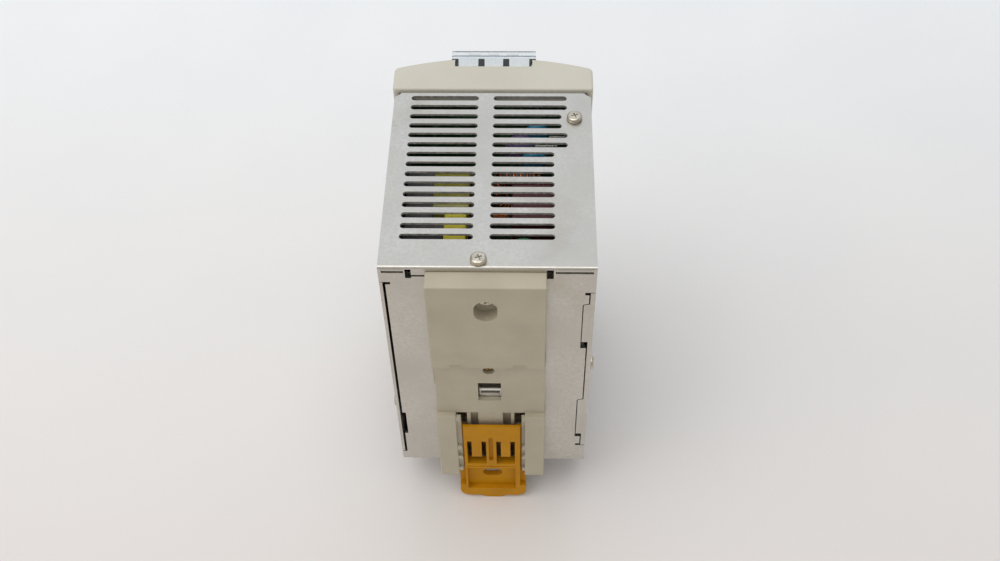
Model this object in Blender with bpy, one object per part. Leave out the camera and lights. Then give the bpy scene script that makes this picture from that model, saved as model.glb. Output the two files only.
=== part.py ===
"""Power supply for a 35 mm din rail, modelled as separate pieces in one assembly.

Frame: the origin is on the plane where the rail's back rests, at the rail's centreline.
+Y points from the case to the rail, so the front faces -Y. +Z is up. X runs across the unit.
The sizes below are in millimetres and become metres when a mesh is made.
"""
import math

import bmesh
import bpy

MM = 0.001
GAP = 0.3                      # clearance between pieces that touch on the real unit

# Case
CASE_HALF = 37.5               # half the case's width
CASE_TOP = 64.0
CASE_BOTTOM = -61.0
REAR = -4.8                    # outer face of the rear sheet
FRONT_EDGE = -91.8             # front edge of the sheets
SHEET = 1.0
BEND = 1.6                     # outer radius of the folds
SIDE_SHEET = 1.2
SEAM = 0.9                     # open seam between the rear sheet and a side sheet
SEAM_LEFT = (-55.0, 56.2)      # heights of the left seam's ends
SEAM_POCKET = (-41.0, -26.0)   # heights of the wider part of the left seam
RELIEFS = ((26.1, 28.2), (-22.7, -20.3))   # holes under the ends of the upper fold
RELIEF_HEIGHTS = (58.4, 63.0)
SLIT = ((20.5, 26.3), (59.3, 60.1))        # slit from the left hole to the bracket
TOP_SCREWS = ((3.0, -8.2), (-31.0, -77.8))
SIDE_SCREWS = ((-14.0, -30.0), (-14.0, -3.5))   # left and right, in Y and Z
TAB_HOLE = ((-4.2, 4.6), (-11.6, 2.4))     # what the hook tab is bent out of
TAB_WIDTH = (-3.9, 4.3)
TAB_FACE = -2.2
TAB_ROLL = (-2.3, -4.95, 0.6)  # rolled upper end of the tab: Y, Z and radius

# Vent slots
VENT_PITCH = 5.0
VENT_FIRST = -88.9
VENT_ROWS = 15
VENT_WIDTH = 2.5
VENT_LEFT = (5.2, 31.0)        # both ends of the slots in the left column
VENT_RIGHT_START = -0.4
VENT_RIGHT_ENDS = (-28.3, -28.3, -26.2, -26.2, -28.3, -28.3) + (-23.3,) * 9
VENT_BOTTOM_ENDS = (-28.3,) * VENT_ROWS

# Seam on the right of the rear: (height, edge of the rear sheet)
RIGHT_SEAM_TOP = 50.9
RIGHT_SEAM_BOTTOM = -49.2
TAB_EDGE = -33.2               # rear sheet's edge beside a tab of the side cover
STRIP_EDGE = -35.3             # rear sheet's edge elsewhere
RIGHT_TABS = ((18.3, 22.0, 44.8), (-42.4, -40.4, -15.0))   # opening's foot, tab's foot, tab's top
TAB_SLOPE = 0.8                # drop of a tab's top edge towards its end

# Front bezel
BEZEL_HALF = 38.5
BEZEL_REAR = -93.1
BEZEL_TOP = 65.0
BEZEL_BOTTOM = -62.0
BEZEL_APEX = -111.4            # front of the convex face
BEZEL_RADIUS = 120.0
BEZEL_WALL = 2.2
RIM_HALF = 35.9                # half the width of the rim that enters the case
RIM_REAR = BEZEL_REAR + 2.7
RIM_WALL = 1.5
LAMPS = {"power_lamp": 8.0, "alarm_lamp": 0.0}   # heights
LAMP_X = 22.0
LAMP_TIP = -109.6
TRIMMER = (22.0, -12.0)
BAY_REAR = -106.0
BAY_HEIGHT = 24.0
BLOCK_FACE = BAY_REAR - 0.6    # face of a terminal block between its barriers

# Terminals, measured from the end of the bezel that they stand at
POLE_PITCH = 9.7
BARRIER = 2.4
BARRIER_FRONT = -111.2
COVER_BACK = -112.3
COVER_FRONT = -113.3
HINGE_Y = -112.8
HINGE_DROP = 22.0              # from the bezel's end to the hinge axis

# Rail bracket
SEAT = 0.0
LIP_FACE = 2.5
BRACKET_BACK = REAR + GAP
LIP_EDGE = 15.3
RAIL_THICKNESS = 1.3
BLOCK_TOP = -17.8
BLOCK_BOTTOM = -61.4
BLOCK_INNER = 13.3
BLOCK_OUTER = 20.8
FLOOR_FACE = -2.5              # face of the channel's floor behind the slider
BRACKET_TOP = 62.0
UPPER_SCREW = (0.7, 51.0)
LOWER_SCREW = (0.5, 10.2)
POSTS = ((-4.5, 5.1), (8.1, 9.5), (-8.9, -7.6))   # behind the slider's upper edge
POST_END = -30.0
TEETH = ((-21.0, -18.6), (-42.2, -39.4), (-49.2, -47.1), (-58.2, -56.0))
TOOTH_HALF = 12.1
LEDGE_HALF = 11.8              # inner edge of the ledges that the slider's flanges run behind
LEDGE_BOTTOM = -58.4
NOTCHES = ((9.5, 14.6), (-13.6, -8.6))
WINDOW = ((-4.0, 4.7), (-9.6, 2.1))

# Rail slider, in its pulled-down place
SLIDER_TOP = -23.3
SLIDER_HALF = 11.25
SLIDER_BACK = SEAT + GAP
FLANGE_HALF = 13.7
FLANGE_TOP = -26.4
TRAY_TOP = -56.0
TRAY_FLOOR = -0.9
SLIDER_END = -78.0
SLIDER_WINDOWS = ((2.4, 10.0), (-9.1, -1.7))
WINDOW_HEIGHTS = (-52.5, -35.4)

# Boards
BOARD = 1.6
MAIN_BOARD_X = 32.0            # component side of the main board
FILTER_BOARD_X = -32.0
FRONT_BOARD_Y = -97.2          # rear side of the front board
BOARD_HEIGHTS = (-56.0, 58.0)
BOARD_DEPTHS = (-94.0, -14.0)
MAIN_STANDOFFS = ((-20.0, 53.0), (-20.0, -51.0), (-82.0, 53.0), (-82.0, -51.0))
FILTER_STANDOFFS = ((-20.0, 53.0), (-82.0, -15.0))

# Parts on the boards
ON_BOARD = 31.4                # X of the sides that stand on the main board
CORE = ((4.0, ON_BOARD), (-62.0, -34.0), (31.5, 51.5))
COIL = ((7.5, 20.7), (-57.7, -38.3), (26.0, 57.0))
FILM_CAPACITOR = ((-31.4, -7.9), (-50.0, -33.0), (34.0, 58.0))
X_CAPACITOR = ((8.0, 16.0), (-33.4, -18.0), (36.0, 60.0))
RELAY = ((16.4, ON_BOARD), (-30.0, -17.0), (32.0, 56.0))
DISC_RADIUS = 5.0
LARGE_DISC_RADIUS = 6.5
CHOKE = (-10.0, 45.0, -57.3)   # centre in X and Z, then Y
INDUCTOR = (-80.0, -36.0, 26.5)   # centre in Y and Z, then X


# ---------------------------------------------------------------- outlines

def arc(cx, cy, radius, start, end, steps):
    """Points on an arc, with angles in degrees."""
    points = []
    for i in range(steps + 1):
        angle = math.radians(start + (end - start) * i / steps)
        points.append((cx + radius * math.cos(angle), cy + radius * math.sin(angle)))
    return points


def circle(cx, cy, radius, sides):
    """A regular outline with a number of sides."""
    return arc(cx, cy, radius, 0, 360 - 360 / sides, sides - 1)


def rectangle(x0, x1, y0, y1):
    """Four corners, anticlockwise."""
    return [(x0, y0), (x1, y0), (x1, y1), (x0, y1)]


def rounded(x0, x1, y0, y1, radius, steps=3):
    """A rectangle with round corners."""
    return (arc(x1 - radius, y1 - radius, radius, 0, 90, steps)
            + arc(x0 + radius, y1 - radius, radius, 90, 180, steps)
            + arc(x0 + radius, y0 + radius, radius, 180, 270, steps)
            + arc(x1 - radius, y0 + radius, radius, 270, 360, steps))


def slot(x0, x1, cy, width, steps=3):
    """A slot with round ends, running along the first axis."""
    r = width / 2
    low, high = min(x0, x1), max(x0, x1)
    return arc(high - r, cy, r, -90, 90, steps) + arc(low + r, cy, r, 90, 270, steps)


# ---------------------------------------------------------------- solids

def place(axis, level, point):
    """A point of an outline, at a level along an axis, in metres."""
    a, b = point
    spots = {"X": (level, a, b), "Y": (a, level, b), "Z": (a, b, level)}
    return [value * MM for value in spots[axis]]


def prism(outline, axis, low, high):
    """A closed solid: an outline swept along an axis from low to high."""
    bm = bmesh.new()
    first = [bm.verts.new(place(axis, low, p)) for p in outline]
    last = [bm.verts.new(place(axis, high, p)) for p in outline]
    bm.faces.new(first)
    bm.faces.new(last)
    for i in range(len(outline)):
        j = (i + 1) % len(outline)
        bm.faces.new((first[i], first[j], last[j], last[i]))
    bmesh.ops.recalc_face_normals(bm, faces=bm.faces)
    return bm


def box(x, y, z):
    """A block between two limits on each axis."""
    return prism(rectangle(x[0], x[1], y[0], y[1]), "Z", z[0], z[1])


def rod(axis, centre, radius, low, high, sides=16):
    """A round bar along an axis; centre holds its two other coordinates."""
    return prism(circle(centre[0], centre[1], radius, sides), axis, low, high)


def turned(profile, axis, centre, sides=16):
    """A solid turned about an axis; profile holds (radius, level) from one pole to the other."""
    bm = bmesh.new()
    rings = []
    for radius, level in profile:
        points = [centre] if radius == 0 else circle(centre[0], centre[1], radius, sides)
        rings.append([bm.verts.new(place(axis, level, p)) for p in points])
    for below, above in zip(rings, rings[1:]):
        for i in range(sides):
            j = (i + 1) % sides
            corners = [below[i % len(below)], below[j % len(below)],
                       above[j % len(above)], above[i % len(above)]]
            bm.faces.new(list(dict.fromkeys(corners)))
    bmesh.ops.recalc_face_normals(bm, faces=bm.faces)
    return bm


def toroid(centre, axis, level, ring, tube, sides=15, section=6):
    """A full ring of round section about an axis."""
    bm = bmesh.new()
    loops = []
    for i in range(sides):
        angle = 2 * math.pi * i / sides
        loop = []
        for h, r in circle(0, 0, tube, section):
            reach = ring + r
            point = (centre[0] + reach * math.cos(angle), centre[1] + reach * math.sin(angle))
            loop.append(bm.verts.new(place(axis, level + h, point)))
        loops.append(loop)
    for i in range(sides):
        bridge(bm, loops[i], loops[(i + 1) % sides])
    bmesh.ops.recalc_face_normals(bm, faces=bm.faces)
    return bm


def sleeve(centre, axis, level, ring, tube, bore, start, end, sides=15, section=7):
    """A winding: a tube bent round part of a ring, open at both ends."""
    bm = bmesh.new()
    outer, inner = [], []
    for i in range(sides + 1):
        angle = math.radians(start + (end - start) * i / sides)
        for radius, loops in ((tube, outer), (bore, inner)):
            loop = []
            for h, r in circle(0, 0, radius, section):
                reach = ring + r
                point = (centre[0] + reach * math.cos(angle), centre[1] + reach * math.sin(angle))
                loop.append(bm.verts.new(place(axis, level + h, point)))
            loops.append(loop)
    for i in range(sides):
        bridge(bm, outer[i], outer[i + 1])
        bridge(bm, inner[i], inner[i + 1])
    bridge(bm, outer[0], inner[0])
    bridge(bm, outer[-1], inner[-1])
    bmesh.ops.recalc_face_normals(bm, faces=bm.faces)
    return bm


def bridge(bm, first, second):
    """Quads between two loops of the same length."""
    for i in range(len(first)):
        j = (i + 1) % len(first)
        bm.faces.new((first[i], first[j], second[j], second[i]))


def gather(solids):
    """Several solids in one mesh."""
    target = bmesh.new()
    for solid in solids:
        scrap = bpy.data.meshes.new("scrap")
        solid.to_mesh(scrap)
        solid.free()
        target.from_mesh(scrap)
        bpy.data.meshes.remove(scrap)
    return target


# ---------------------------------------------------------------- objects

def finish(name, colour, roughness, metallic=0.0, alpha=1.0):
    """A Principled material."""
    material = bpy.data.materials.new(name)
    material.use_nodes = True
    shader = material.node_tree.nodes["Principled BSDF"]
    shader.inputs["Base Color"].default_value = (*colour, 1.0)
    shader.inputs["Roughness"].default_value = roughness
    shader.inputs["Metallic"].default_value = metallic
    shader.inputs["Alpha"].default_value = alpha
    return material


def make(name, solid, material=None, smooth=False):
    """An object from a solid."""
    mesh = bpy.data.meshes.new(name)
    solid.to_mesh(mesh)
    solid.free()
    if smooth:
        mesh.shade_smooth()
        mesh.set_sharp_from_angle(angle=math.radians(35))
    obj = bpy.data.objects.new(name, mesh)
    if material:
        mesh.materials.append(material)
    bpy.context.scene.collection.objects.link(obj)
    return obj


def shape(obj, operation, solids):
    """Cuts solids out of an object, or joins them to it."""
    guide = make(f"guide_{obj.name}_{len(obj.modifiers)}", gather(solids))
    guide.hide_render = True
    guide.display_type = "WIRE"
    modifier = obj.modifiers.new(operation.lower(), "BOOLEAN")
    modifier.operation = operation
    modifier.solver = "EXACT"
    modifier.use_self = True
    modifier.object = guide


def cut(obj, *solids):
    """Removes solids from an object."""
    shape(obj, "DIFFERENCE", solids)


def join(obj, *solids):
    """Adds solids to an object."""
    shape(obj, "UNION", solids)


def hang(obj, pivot):
    """Parents a moving piece to an empty on its joint's axis, without moving it."""
    axis = bpy.data.objects.new(f"{obj.name}_axis", None)
    axis.location = [value * MM for value in pivot]
    bpy.context.scene.collection.objects.link(axis)
    obj.parent = axis
    obj.location = [-value * MM for value in pivot]


# ---------------------------------------------------------------- case

def vent_slots(low, high, right_ends):
    """Cutters for two columns of vent slots through a level."""
    cutters = []
    for row in range(VENT_ROWS):
        y = VENT_FIRST + row * VENT_PITCH
        for start, end in (VENT_LEFT, (VENT_RIGHT_START, right_ends[row])):
            cutters.append(prism(slot(start, end, y, VENT_WIDTH), "Z", low, high))
    return cutters


def case_outline():
    """Side view of the folded sheet: top, rear and bottom in one."""
    y = REAR - BEND
    top = CASE_TOP - BEND
    bottom = CASE_BOTTOM + BEND
    inner = BEND - SHEET
    return ([(FRONT_EDGE, CASE_TOP)] + arc(y, top, BEND, 90, 0, 4)
            + arc(y, bottom, BEND, 0, -90, 4) + [(FRONT_EDGE, CASE_BOTTOM)]
            + [(FRONT_EDGE, CASE_BOTTOM + SHEET)] + arc(y, bottom, inner, -90, 0, 2)
            + arc(y, top, inner, 0, 90, 2) + [(FRONT_EDGE, CASE_TOP - SHEET)])


def right_seam_outline():
    """What the stepped seam takes off the rear sheet, in X and Z."""
    outline = [(-CASE_HALF - 1, RIGHT_SEAM_BOTTOM), (STRIP_EDGE, RIGHT_SEAM_BOTTOM)]
    for foot, _, high in reversed(RIGHT_TABS):
        outline += [(STRIP_EDGE, foot), (TAB_EDGE, foot), (TAB_EDGE, high - TAB_SLOPE), (STRIP_EDGE, high)]
    outline += [(STRIP_EDGE, RIGHT_SEAM_TOP), (-CASE_HALF - 1, RIGHT_SEAM_TOP)]
    return outline


def hook_outline():
    """Side view of the tab that is bent out of the rear sheet and up; its end is rolled."""
    inside = REAR - SHEET
    foot = TAB_HOLE[1][0]
    y, z, radius = TAB_ROLL
    return ([(inside, foot - 0.9), (TAB_FACE, foot - 0.9), (TAB_FACE, z - 0.35)]
            + arc(y, z, radius, -30, 250, 6)
            + [(TAB_FACE - 0.9, z - 0.55), (TAB_FACE - 0.9, foot), (inside, foot)])


def case_sheet(metal):
    """Top, rear and bottom of the case, folded from one sheet."""
    obj = make("case_sheet", prism(case_outline(), "X", -CASE_HALF, CASE_HALF), metal)
    rear = (REAR - 3, REAR + 1)
    upper = (CASE_TOP - 3, CASE_TOP + 1)
    left_strip = CASE_HALF - SIDE_SHEET - SEAM
    cutters = vent_slots(upper[0], upper[1], VENT_RIGHT_ENDS)
    cutters += vent_slots(CASE_BOTTOM - 1, CASE_BOTTOM + 3, VENT_BOTTOM_ENDS)
    cutters += [box(relief, rear, RELIEF_HEIGHTS) for relief in RELIEFS]
    cutters += [rod("Z", centre, 1.8, upper[0], upper[1], 12) for centre in TOP_SCREWS]
    cutters += [
        box(SLIT[0], rear, SLIT[1]),
        prism(right_seam_outline(), "Y", REAR - 3, REAR + 1),
        box((left_strip, CASE_HALF + 1), rear, SEAM_LEFT),
        box((left_strip - 1.3, left_strip + 1), rear, SEAM_POCKET),
        box(TAB_HOLE[0], rear, TAB_HOLE[1]),
        rod("Y", UPPER_SCREW, 2.0, REAR - 3, REAR + 1, 12),
        rod("Y", LOWER_SCREW, 1.4, REAR - 3, REAR + 1, 12),
    ]
    cut(obj, *cutters)
    corner = 3.6
    for side in (-1, 1):
        out = side * (CASE_HALF + 1)
        near = side * (CASE_HALF + 1 - corner - 1)
        wedge = [(out, FRONT_EDGE - 1), (near, FRONT_EDGE - 1), (out, FRONT_EDGE + corner)]
        cut(obj, prism(wedge, "Z", CASE_BOTTOM - 1, CASE_TOP + 1))
    join(obj, prism(hook_outline(), "X", TAB_WIDTH[0], TAB_WIDTH[1]))
    return obj


def side_outline(rear_low, rear_high):
    """Side view of a side sheet; between the two heights it reaches the rear face."""
    low = CASE_BOTTOM + SHEET + GAP
    high = CASE_TOP - SHEET - GAP
    inset = REAR - SHEET - GAP
    return [(FRONT_EDGE, low), (inset, low), (inset, rear_low), (REAR, rear_low),
            (REAR, rear_high), (inset, rear_high), (inset, high), (FRONT_EDGE, high)]


def side_covers(metal):
    """The two side sheets; the right one has two tabs bent over the rear."""
    inner = CASE_HALF - SIDE_SHEET
    left_outline = side_outline(SEAM_LEFT[0] + GAP, SEAM_LEFT[1] - GAP)
    left = make("side_cover_left", prism(left_outline, "X", inner, CASE_HALF), metal)
    cut(left, rod("X", SIDE_SCREWS[0], 1.9, inner - 1, CASE_HALF + 1, 12))
    right_outline = side_outline(RIGHT_SEAM_BOTTOM + GAP, RIGHT_SEAM_TOP - GAP)
    right = make("side_cover_right", prism(right_outline, "X", -CASE_HALF, -inner), metal)
    root = -inner - 0.2
    strip = (RIGHT_SEAM_BOTTOM + GAP, RIGHT_SEAM_TOP - GAP)
    join(right, box((root, STRIP_EDGE - GAP), (REAR - SHEET, REAR), strip))
    reach = TAB_EDGE - GAP
    tabs = []
    for _, low, high in RIGHT_TABS:
        top = high - GAP
        tab = [(root, low), (reach, low), (reach, top - TAB_SLOPE), (root, top)]
        tabs.append(prism(tab, "Y", REAR - SHEET + 0.1, REAR - 0.1))
    join(right, *tabs)
    cut(right, rod("X", SIDE_SCREWS[1], 1.9, -CASE_HALF - 1, -inner + 1, 12))
    return left, right


def pan_screw(name, metal, axis, centre, seat, out, head=2.9, shaft=1.5, depth=5.0, height=1.9):
    """A pan head screw with a cross recess; out is +1 or -1, the way that the head points."""
    rise = out * height
    profile = [(0, seat - out * depth), (shaft, seat - out * depth), (shaft, seat), (head, seat),
               (head, seat + rise * 0.45), (head * 0.8, seat + rise * 0.85), (head * 0.4, seat + rise),
               (0, seat + rise)]
    obj = make(name, turned(profile, axis, centre, 12), metal, smooth=True)
    a, b = centre
    reach = head * 0.55
    blade = head * 0.14
    ends = sorted((seat + rise * 0.35, seat + out * (height + 1)))
    cut(obj, prism(rectangle(a - reach, a + reach, b - blade, b + blade), axis, *ends))
    cut(obj, prism(rectangle(a - blade, a + blade, b - reach, b + reach), axis, *ends))
    return obj


def case_screws(zinc):
    """Screws in the top and in the two side sheets."""
    pan_screw("top_screw_rear", zinc, "Z", TOP_SCREWS[0], CASE_TOP + GAP / 2, 1)
    pan_screw("top_screw_front", zinc, "Z", TOP_SCREWS[1], CASE_TOP + GAP / 2, 1)
    pan_screw("side_screw_left", zinc, "X", SIDE_SCREWS[0], CASE_HALF + GAP / 2, 1, depth=3.0)
    pan_screw("side_screw_right", zinc, "X", SIDE_SCREWS[1], -CASE_HALF - GAP / 2, -1, depth=3.0)


# ---------------------------------------------------------------- front

def bezel_outline(inset, rear):
    """Plan of the bezel: a convex front between rounded corners."""
    radius = BEZEL_RADIUS - inset
    centre = BEZEL_APEX + BEZEL_RADIUS
    half = BEZEL_HALF - inset
    spread = math.degrees(math.asin((half - 1.6) / radius))
    corner = centre - radius * math.cos(math.radians(spread)) + 1.6
    return ([(half, rear), (half - 0.4, corner)]
            + arc(0, centre, radius, 270 + spread, 270 - spread, 14)
            + [(-half + 0.4, corner), (-half, rear)])


def end_z(side, depth):
    """Height of a point at a depth from the bezel's upper (+1) or lower (-1) end."""
    return BEZEL_TOP - depth if side > 0 else BEZEL_BOTTOM + depth


def span(side, near, far):
    """The two heights at two depths from one end, lowest first."""
    return tuple(sorted((end_z(side, near), end_z(side, far))))


def bay_half(poles):
    """Half the width of the bay for a number of poles."""
    return poles * POLE_PITCH / 2 + 0.55


def front_bezel(plastic):
    """Moulded front: a shell with a rim that enters the case, and a bay at each end."""
    outer = prism(bezel_outline(0, BEZEL_REAR), "Z", BEZEL_BOTTOM, BEZEL_TOP)
    obj = make("front_bezel", outer, plastic)
    cut(obj, prism(bezel_outline(BEZEL_WALL, BEZEL_REAR + 1), "Z",
                   BEZEL_BOTTOM + BEZEL_WALL, BEZEL_TOP - BEZEL_WALL))
    root = BEZEL_REAR - 1.5
    low = CASE_BOTTOM + 1.6
    high = CASE_TOP - 1.6
    rim = box((-RIM_HALF, RIM_HALF), (root, RIM_REAR), (low, high))
    ledge = box((-RIM_HALF - 0.9, RIM_HALF + 0.9), (root, BEZEL_REAR),
                (BEZEL_BOTTOM + 1.7, BEZEL_TOP - 1.7))
    join(obj, rim, ledge)
    bore_half = RIM_HALF - RIM_WALL
    cutters = [box((-bore_half, bore_half), (root - 1.5, RIM_REAR + 1),
                   (low + RIM_WALL, high - RIM_WALL))]
    ears = []
    for side, poles in ((1, 3), (-1, 4)):
        half = bay_half(poles)
        cutters.append(box((-half, half), (BEZEL_APEX - 2, BAY_REAR), span(side, -2, BAY_HEIGHT)))
        hinge = end_z(side, HINGE_DROP)
        for hand in (-1, 1):
            low, high = sorted((hand * (half + 0.1), hand * (half + 1.9)))
            plate = (arc(HINGE_Y, hinge, 1.95, 90, 270, 6)
                     + [(BAY_REAR - 2.5, hinge - 1.95), (BAY_REAR - 2.5, hinge + 1.95)])
            ears.append(prism(plate, "X", low, high))
    for z in LAMPS.values():
        cutters.append(rod("Y", (LAMP_X, z), 1.85, BEZEL_APEX - 2, BAY_REAR + 4, 12))
    cutters.append(rod("Y", TRIMMER, 2.9, BEZEL_APEX - 2, BAY_REAR + 4, 16))
    cut(obj, *cutters)
    join(obj, *ears)
    pins = []
    for side, poles in ((1, 3), (-1, 4)):
        half = bay_half(poles) + 3
        pins.append(rod("X", (HINGE_Y, end_z(side, HINGE_DROP)), 1.1, -half, half, 12))
    cut(obj, *pins)
    return obj


def terminal_block(name, plastic, side, poles):
    """Barrier block: a body on the front board and a barrier beside each pole."""
    half = bay_half(poles) - GAP
    body = box((-half, half), (BLOCK_FACE, FRONT_BOARD_Y - BOARD - GAP), span(side, 2.6, 20.0))
    obj = make(name, body, plastic)
    reach = (BARRIER_FRONT, BAY_REAR - GAP)
    barriers = [box((-half, -half + 0.9), reach, span(side, 0.6, 19.2)),
                box((half - 0.9, half), reach, span(side, 0.6, 19.2))]
    first = -(poles / 2 - 1) * POLE_PITCH
    for i in range(poles - 1):
        x = first + i * POLE_PITCH
        barriers.append(box((x - BARRIER / 2, x + BARRIER / 2), reach, span(side, 0.6, 19.2)))
    barriers.append(box((-half, half), (BARRIER_FRONT + 1, BAY_REAR - GAP), span(side, 17.6, 19.4)))
    join(obj, *barriers)
    holes = []
    for i in range(poles):
        x = (i - (poles - 1) / 2) * POLE_PITCH
        holes.append(rod("Y", (x, end_z(side, 11.0)), 2.0, BLOCK_FACE - 1, BAY_REAR + 5, 12))
    cut(obj, *holes)
    return obj


def terminal_screws(metal, group, side, poles):
    """A clamp screw with its square plate for each pole."""
    for i in range(poles):
        x = (i - (poles - 1) / 2) * POLE_PITCH
        z = end_z(side, 11.0)
        seat = BLOCK_FACE - GAP
        screw = pan_screw(f"{group}_terminal_screw_{i + 1}", metal, "Y", (x, z), seat - 0.9, -1,
                          head=3.0, shaft=1.6, depth=5.0, height=2.0)
        join(screw, prism(rounded(x - 3.3, x + 3.3, z - 3.3, z + 3.3, 0.5, 1), "Y", seat - 1.0, seat))


def terminal_cover(name, clear, side, poles):
    """Clear flap with a grip along its free edge and a round hinge edge between the ears."""
    half = bay_half(poles)
    hinge = end_z(side, HINGE_DROP)
    panel = box((-half - 1.4, half + 1.4), (COVER_FRONT, COVER_BACK), span(side, 0.4, HINGE_DROP - 2.6))
    obj = make(name, panel, clear)
    join(obj,
         box((-half + 0.4, half - 0.4), (COVER_FRONT, COVER_BACK), span(side, HINGE_DROP - 3.0, HINGE_DROP)),
         box((-half - 1.4, half + 1.4), (COVER_FRONT - 2.1, COVER_FRONT + 0.4), span(side, 0.4, 1.4)),
         rod("X", (HINGE_Y, hinge), 1.3, -half + 0.4, half - 0.4, 12),
         rod("X", (HINGE_Y, hinge), 0.8, -half - 1.5, half + 1.5, 12))
    hang(obj, (0, HINGE_Y, hinge))
    return obj


def lamp(name, lens):
    """A small lamp with a domed end in its hole in the bezel."""
    foot = FRONT_BOARD_Y - BOARD - GAP
    tip = LAMP_TIP
    profile = [(0, foot), (1.8, foot), (1.8, foot - 1.0), (1.5, foot - 1.0), (1.5, tip + 1.2),
               (1.1, tip + 0.4), (0, tip)]
    make(name, turned(profile, "Y", (LAMP_X, LAMPS[name]), 12), lens, smooth=True)


def voltage_trimmer(plastic, rotor_plastic):
    """The trimmer's square body on the board and its slotted rotor behind the bezel's hole."""
    foot = FRONT_BOARD_Y - BOARD - GAP
    face = foot - 4.6
    x, z = TRIMMER
    half = 3.3
    body = make("trimmer_body", box((x - half, x + half), (face, foot), (z - half, z + half)), plastic)
    cut(body, rod("Y", TRIMMER, 1.3, face - 1, face + 2.6, 12))
    profile = [(0, face + 2.0), (1.0, face + 2.0), (1.0, face - GAP), (2.3, face - GAP),
               (2.3, face - 2.0), (0, face - 2.0)]
    rotor = make("trimmer_rotor", turned(profile, "Y", TRIMMER, 16), rotor_plastic, smooth=True)
    cut(rotor, box((x - 0.4, x + 0.4), (face - 3, face - 1.2), (z - 1.8, z + 1.8)))
    hang(rotor, (x, face, z))


# ---------------------------------------------------------------- rail clip

def rail_bracket(plastic):
    """Moulding on the rear: hook block, seat for the rail, and the slider's two guide blocks."""
    full = (BRACKET_BACK, LIP_FACE)
    block = (BLOCK_BOTTOM, BLOCK_TOP)
    obj = make("rail_bracket", box((-20.3, 20.9), full, (LIP_EDGE, BRACKET_TOP)), plastic)
    behind = (BRACKET_BACK + 0.5, SEAT - GAP)
    join(obj,
         box((-20.6, 19.9), (BRACKET_BACK, SEAT), (BLOCK_TOP - 0.2, LIP_EDGE + 1)),
         box((BLOCK_INNER, BLOCK_OUTER), full, block),
         box((-BLOCK_OUTER, -BLOCK_INNER), full, block),
         box((-16.0, 16.0), (BRACKET_BACK, FLOOR_FACE), (BLOCK_BOTTOM, BLOCK_TOP + 1)),
         *[box(post, behind, (POST_END, BLOCK_TOP + 0.5)) for post in POSTS])
    guides = []
    for side in (-1, 1):
        ledge = sorted((side * (BLOCK_INNER + 1), side * LEDGE_HALF))
        guides.append(box(ledge, (0.5, 1.0), (LEDGE_BOTTOM, BLOCK_TOP - 1.0)))
        tooth = sorted((side * (BLOCK_INNER + 1), side * TOOTH_HALF))
        guides += [box(tooth, (0.8, 2.2), heights) for heights in TEETH]
    join(obj, *guides)
    hole = [(x, z) for z, x in slot(49.2 - 5.4, 49.2 + 5.4, UPPER_SCREW[0], 8.3, 4)]
    channel = (FLOOR_FACE, SEAT + 0.4)
    heights = (BLOCK_BOTTOM - 1, BLOCK_TOP - 0.9)
    cutters = [box(notch, (RAIL_THICKNESS - 0.5, LIP_FACE + 1), (14.0, 17.3)) for notch in NOTCHES]
    cutters += [
        box((-22, 22), (SEAT - GAP, RAIL_THICKNESS), (14.8, 18.2)),
        prism(hole, "Y", -2.4, LIP_FACE + 1),
        rod("Y", UPPER_SCREW, 2.2, BRACKET_BACK - 1, -2.0, 12),
        rod("Y", LOWER_SCREW, 2.2, -2.6, SEAT + 1, 12),
        rod("Y", LOWER_SCREW, 1.5, BRACKET_BACK - 1, -2.0, 12),
        box(WINDOW[0], (-2.4, SEAT + 1), WINDOW[1]),
        box((-4.5, 5.0), (BRACKET_BACK - 1, -1.8), (-13.0, WINDOW[1][1])),
        box((BLOCK_INNER - 0.2, 14.2), channel, heights),
        box((-14.2, -BLOCK_INNER + 0.2), channel, heights),
    ]
    cut(obj, *cutters)
    return obj


def bracket_screws(zinc, brass):
    """The two screws that hold the bracket to the rear sheet."""
    pan_screw("bracket_screw_upper", zinc, "Y", UPPER_SCREW, -2.2, 1, head=3.0, shaft=1.6)
    pan_screw("bracket_screw_lower", brass, "Y", LOWER_SCREW, -2.4, 1, head=1.8, shaft=1.0,
              depth=4.6, height=1.5)


def slider_outline():
    """Outer outline of the slider's lower part: round corners and a grip bulge in the middle."""
    z = SLIDER_END
    r = 3.0
    return ([(FLANGE_HALF, z + 8)] + arc(FLANGE_HALF - r, z + r, r, 0, -90, 3)
            + [(4.6, z), (2.6, z - 1.5), (-2.6, z - 1.5), (-4.6, z)]
            + arc(-FLANGE_HALF + r, z + r, r, 270, 180, 3) + [(-FLANGE_HALF, z + 8)])


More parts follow.
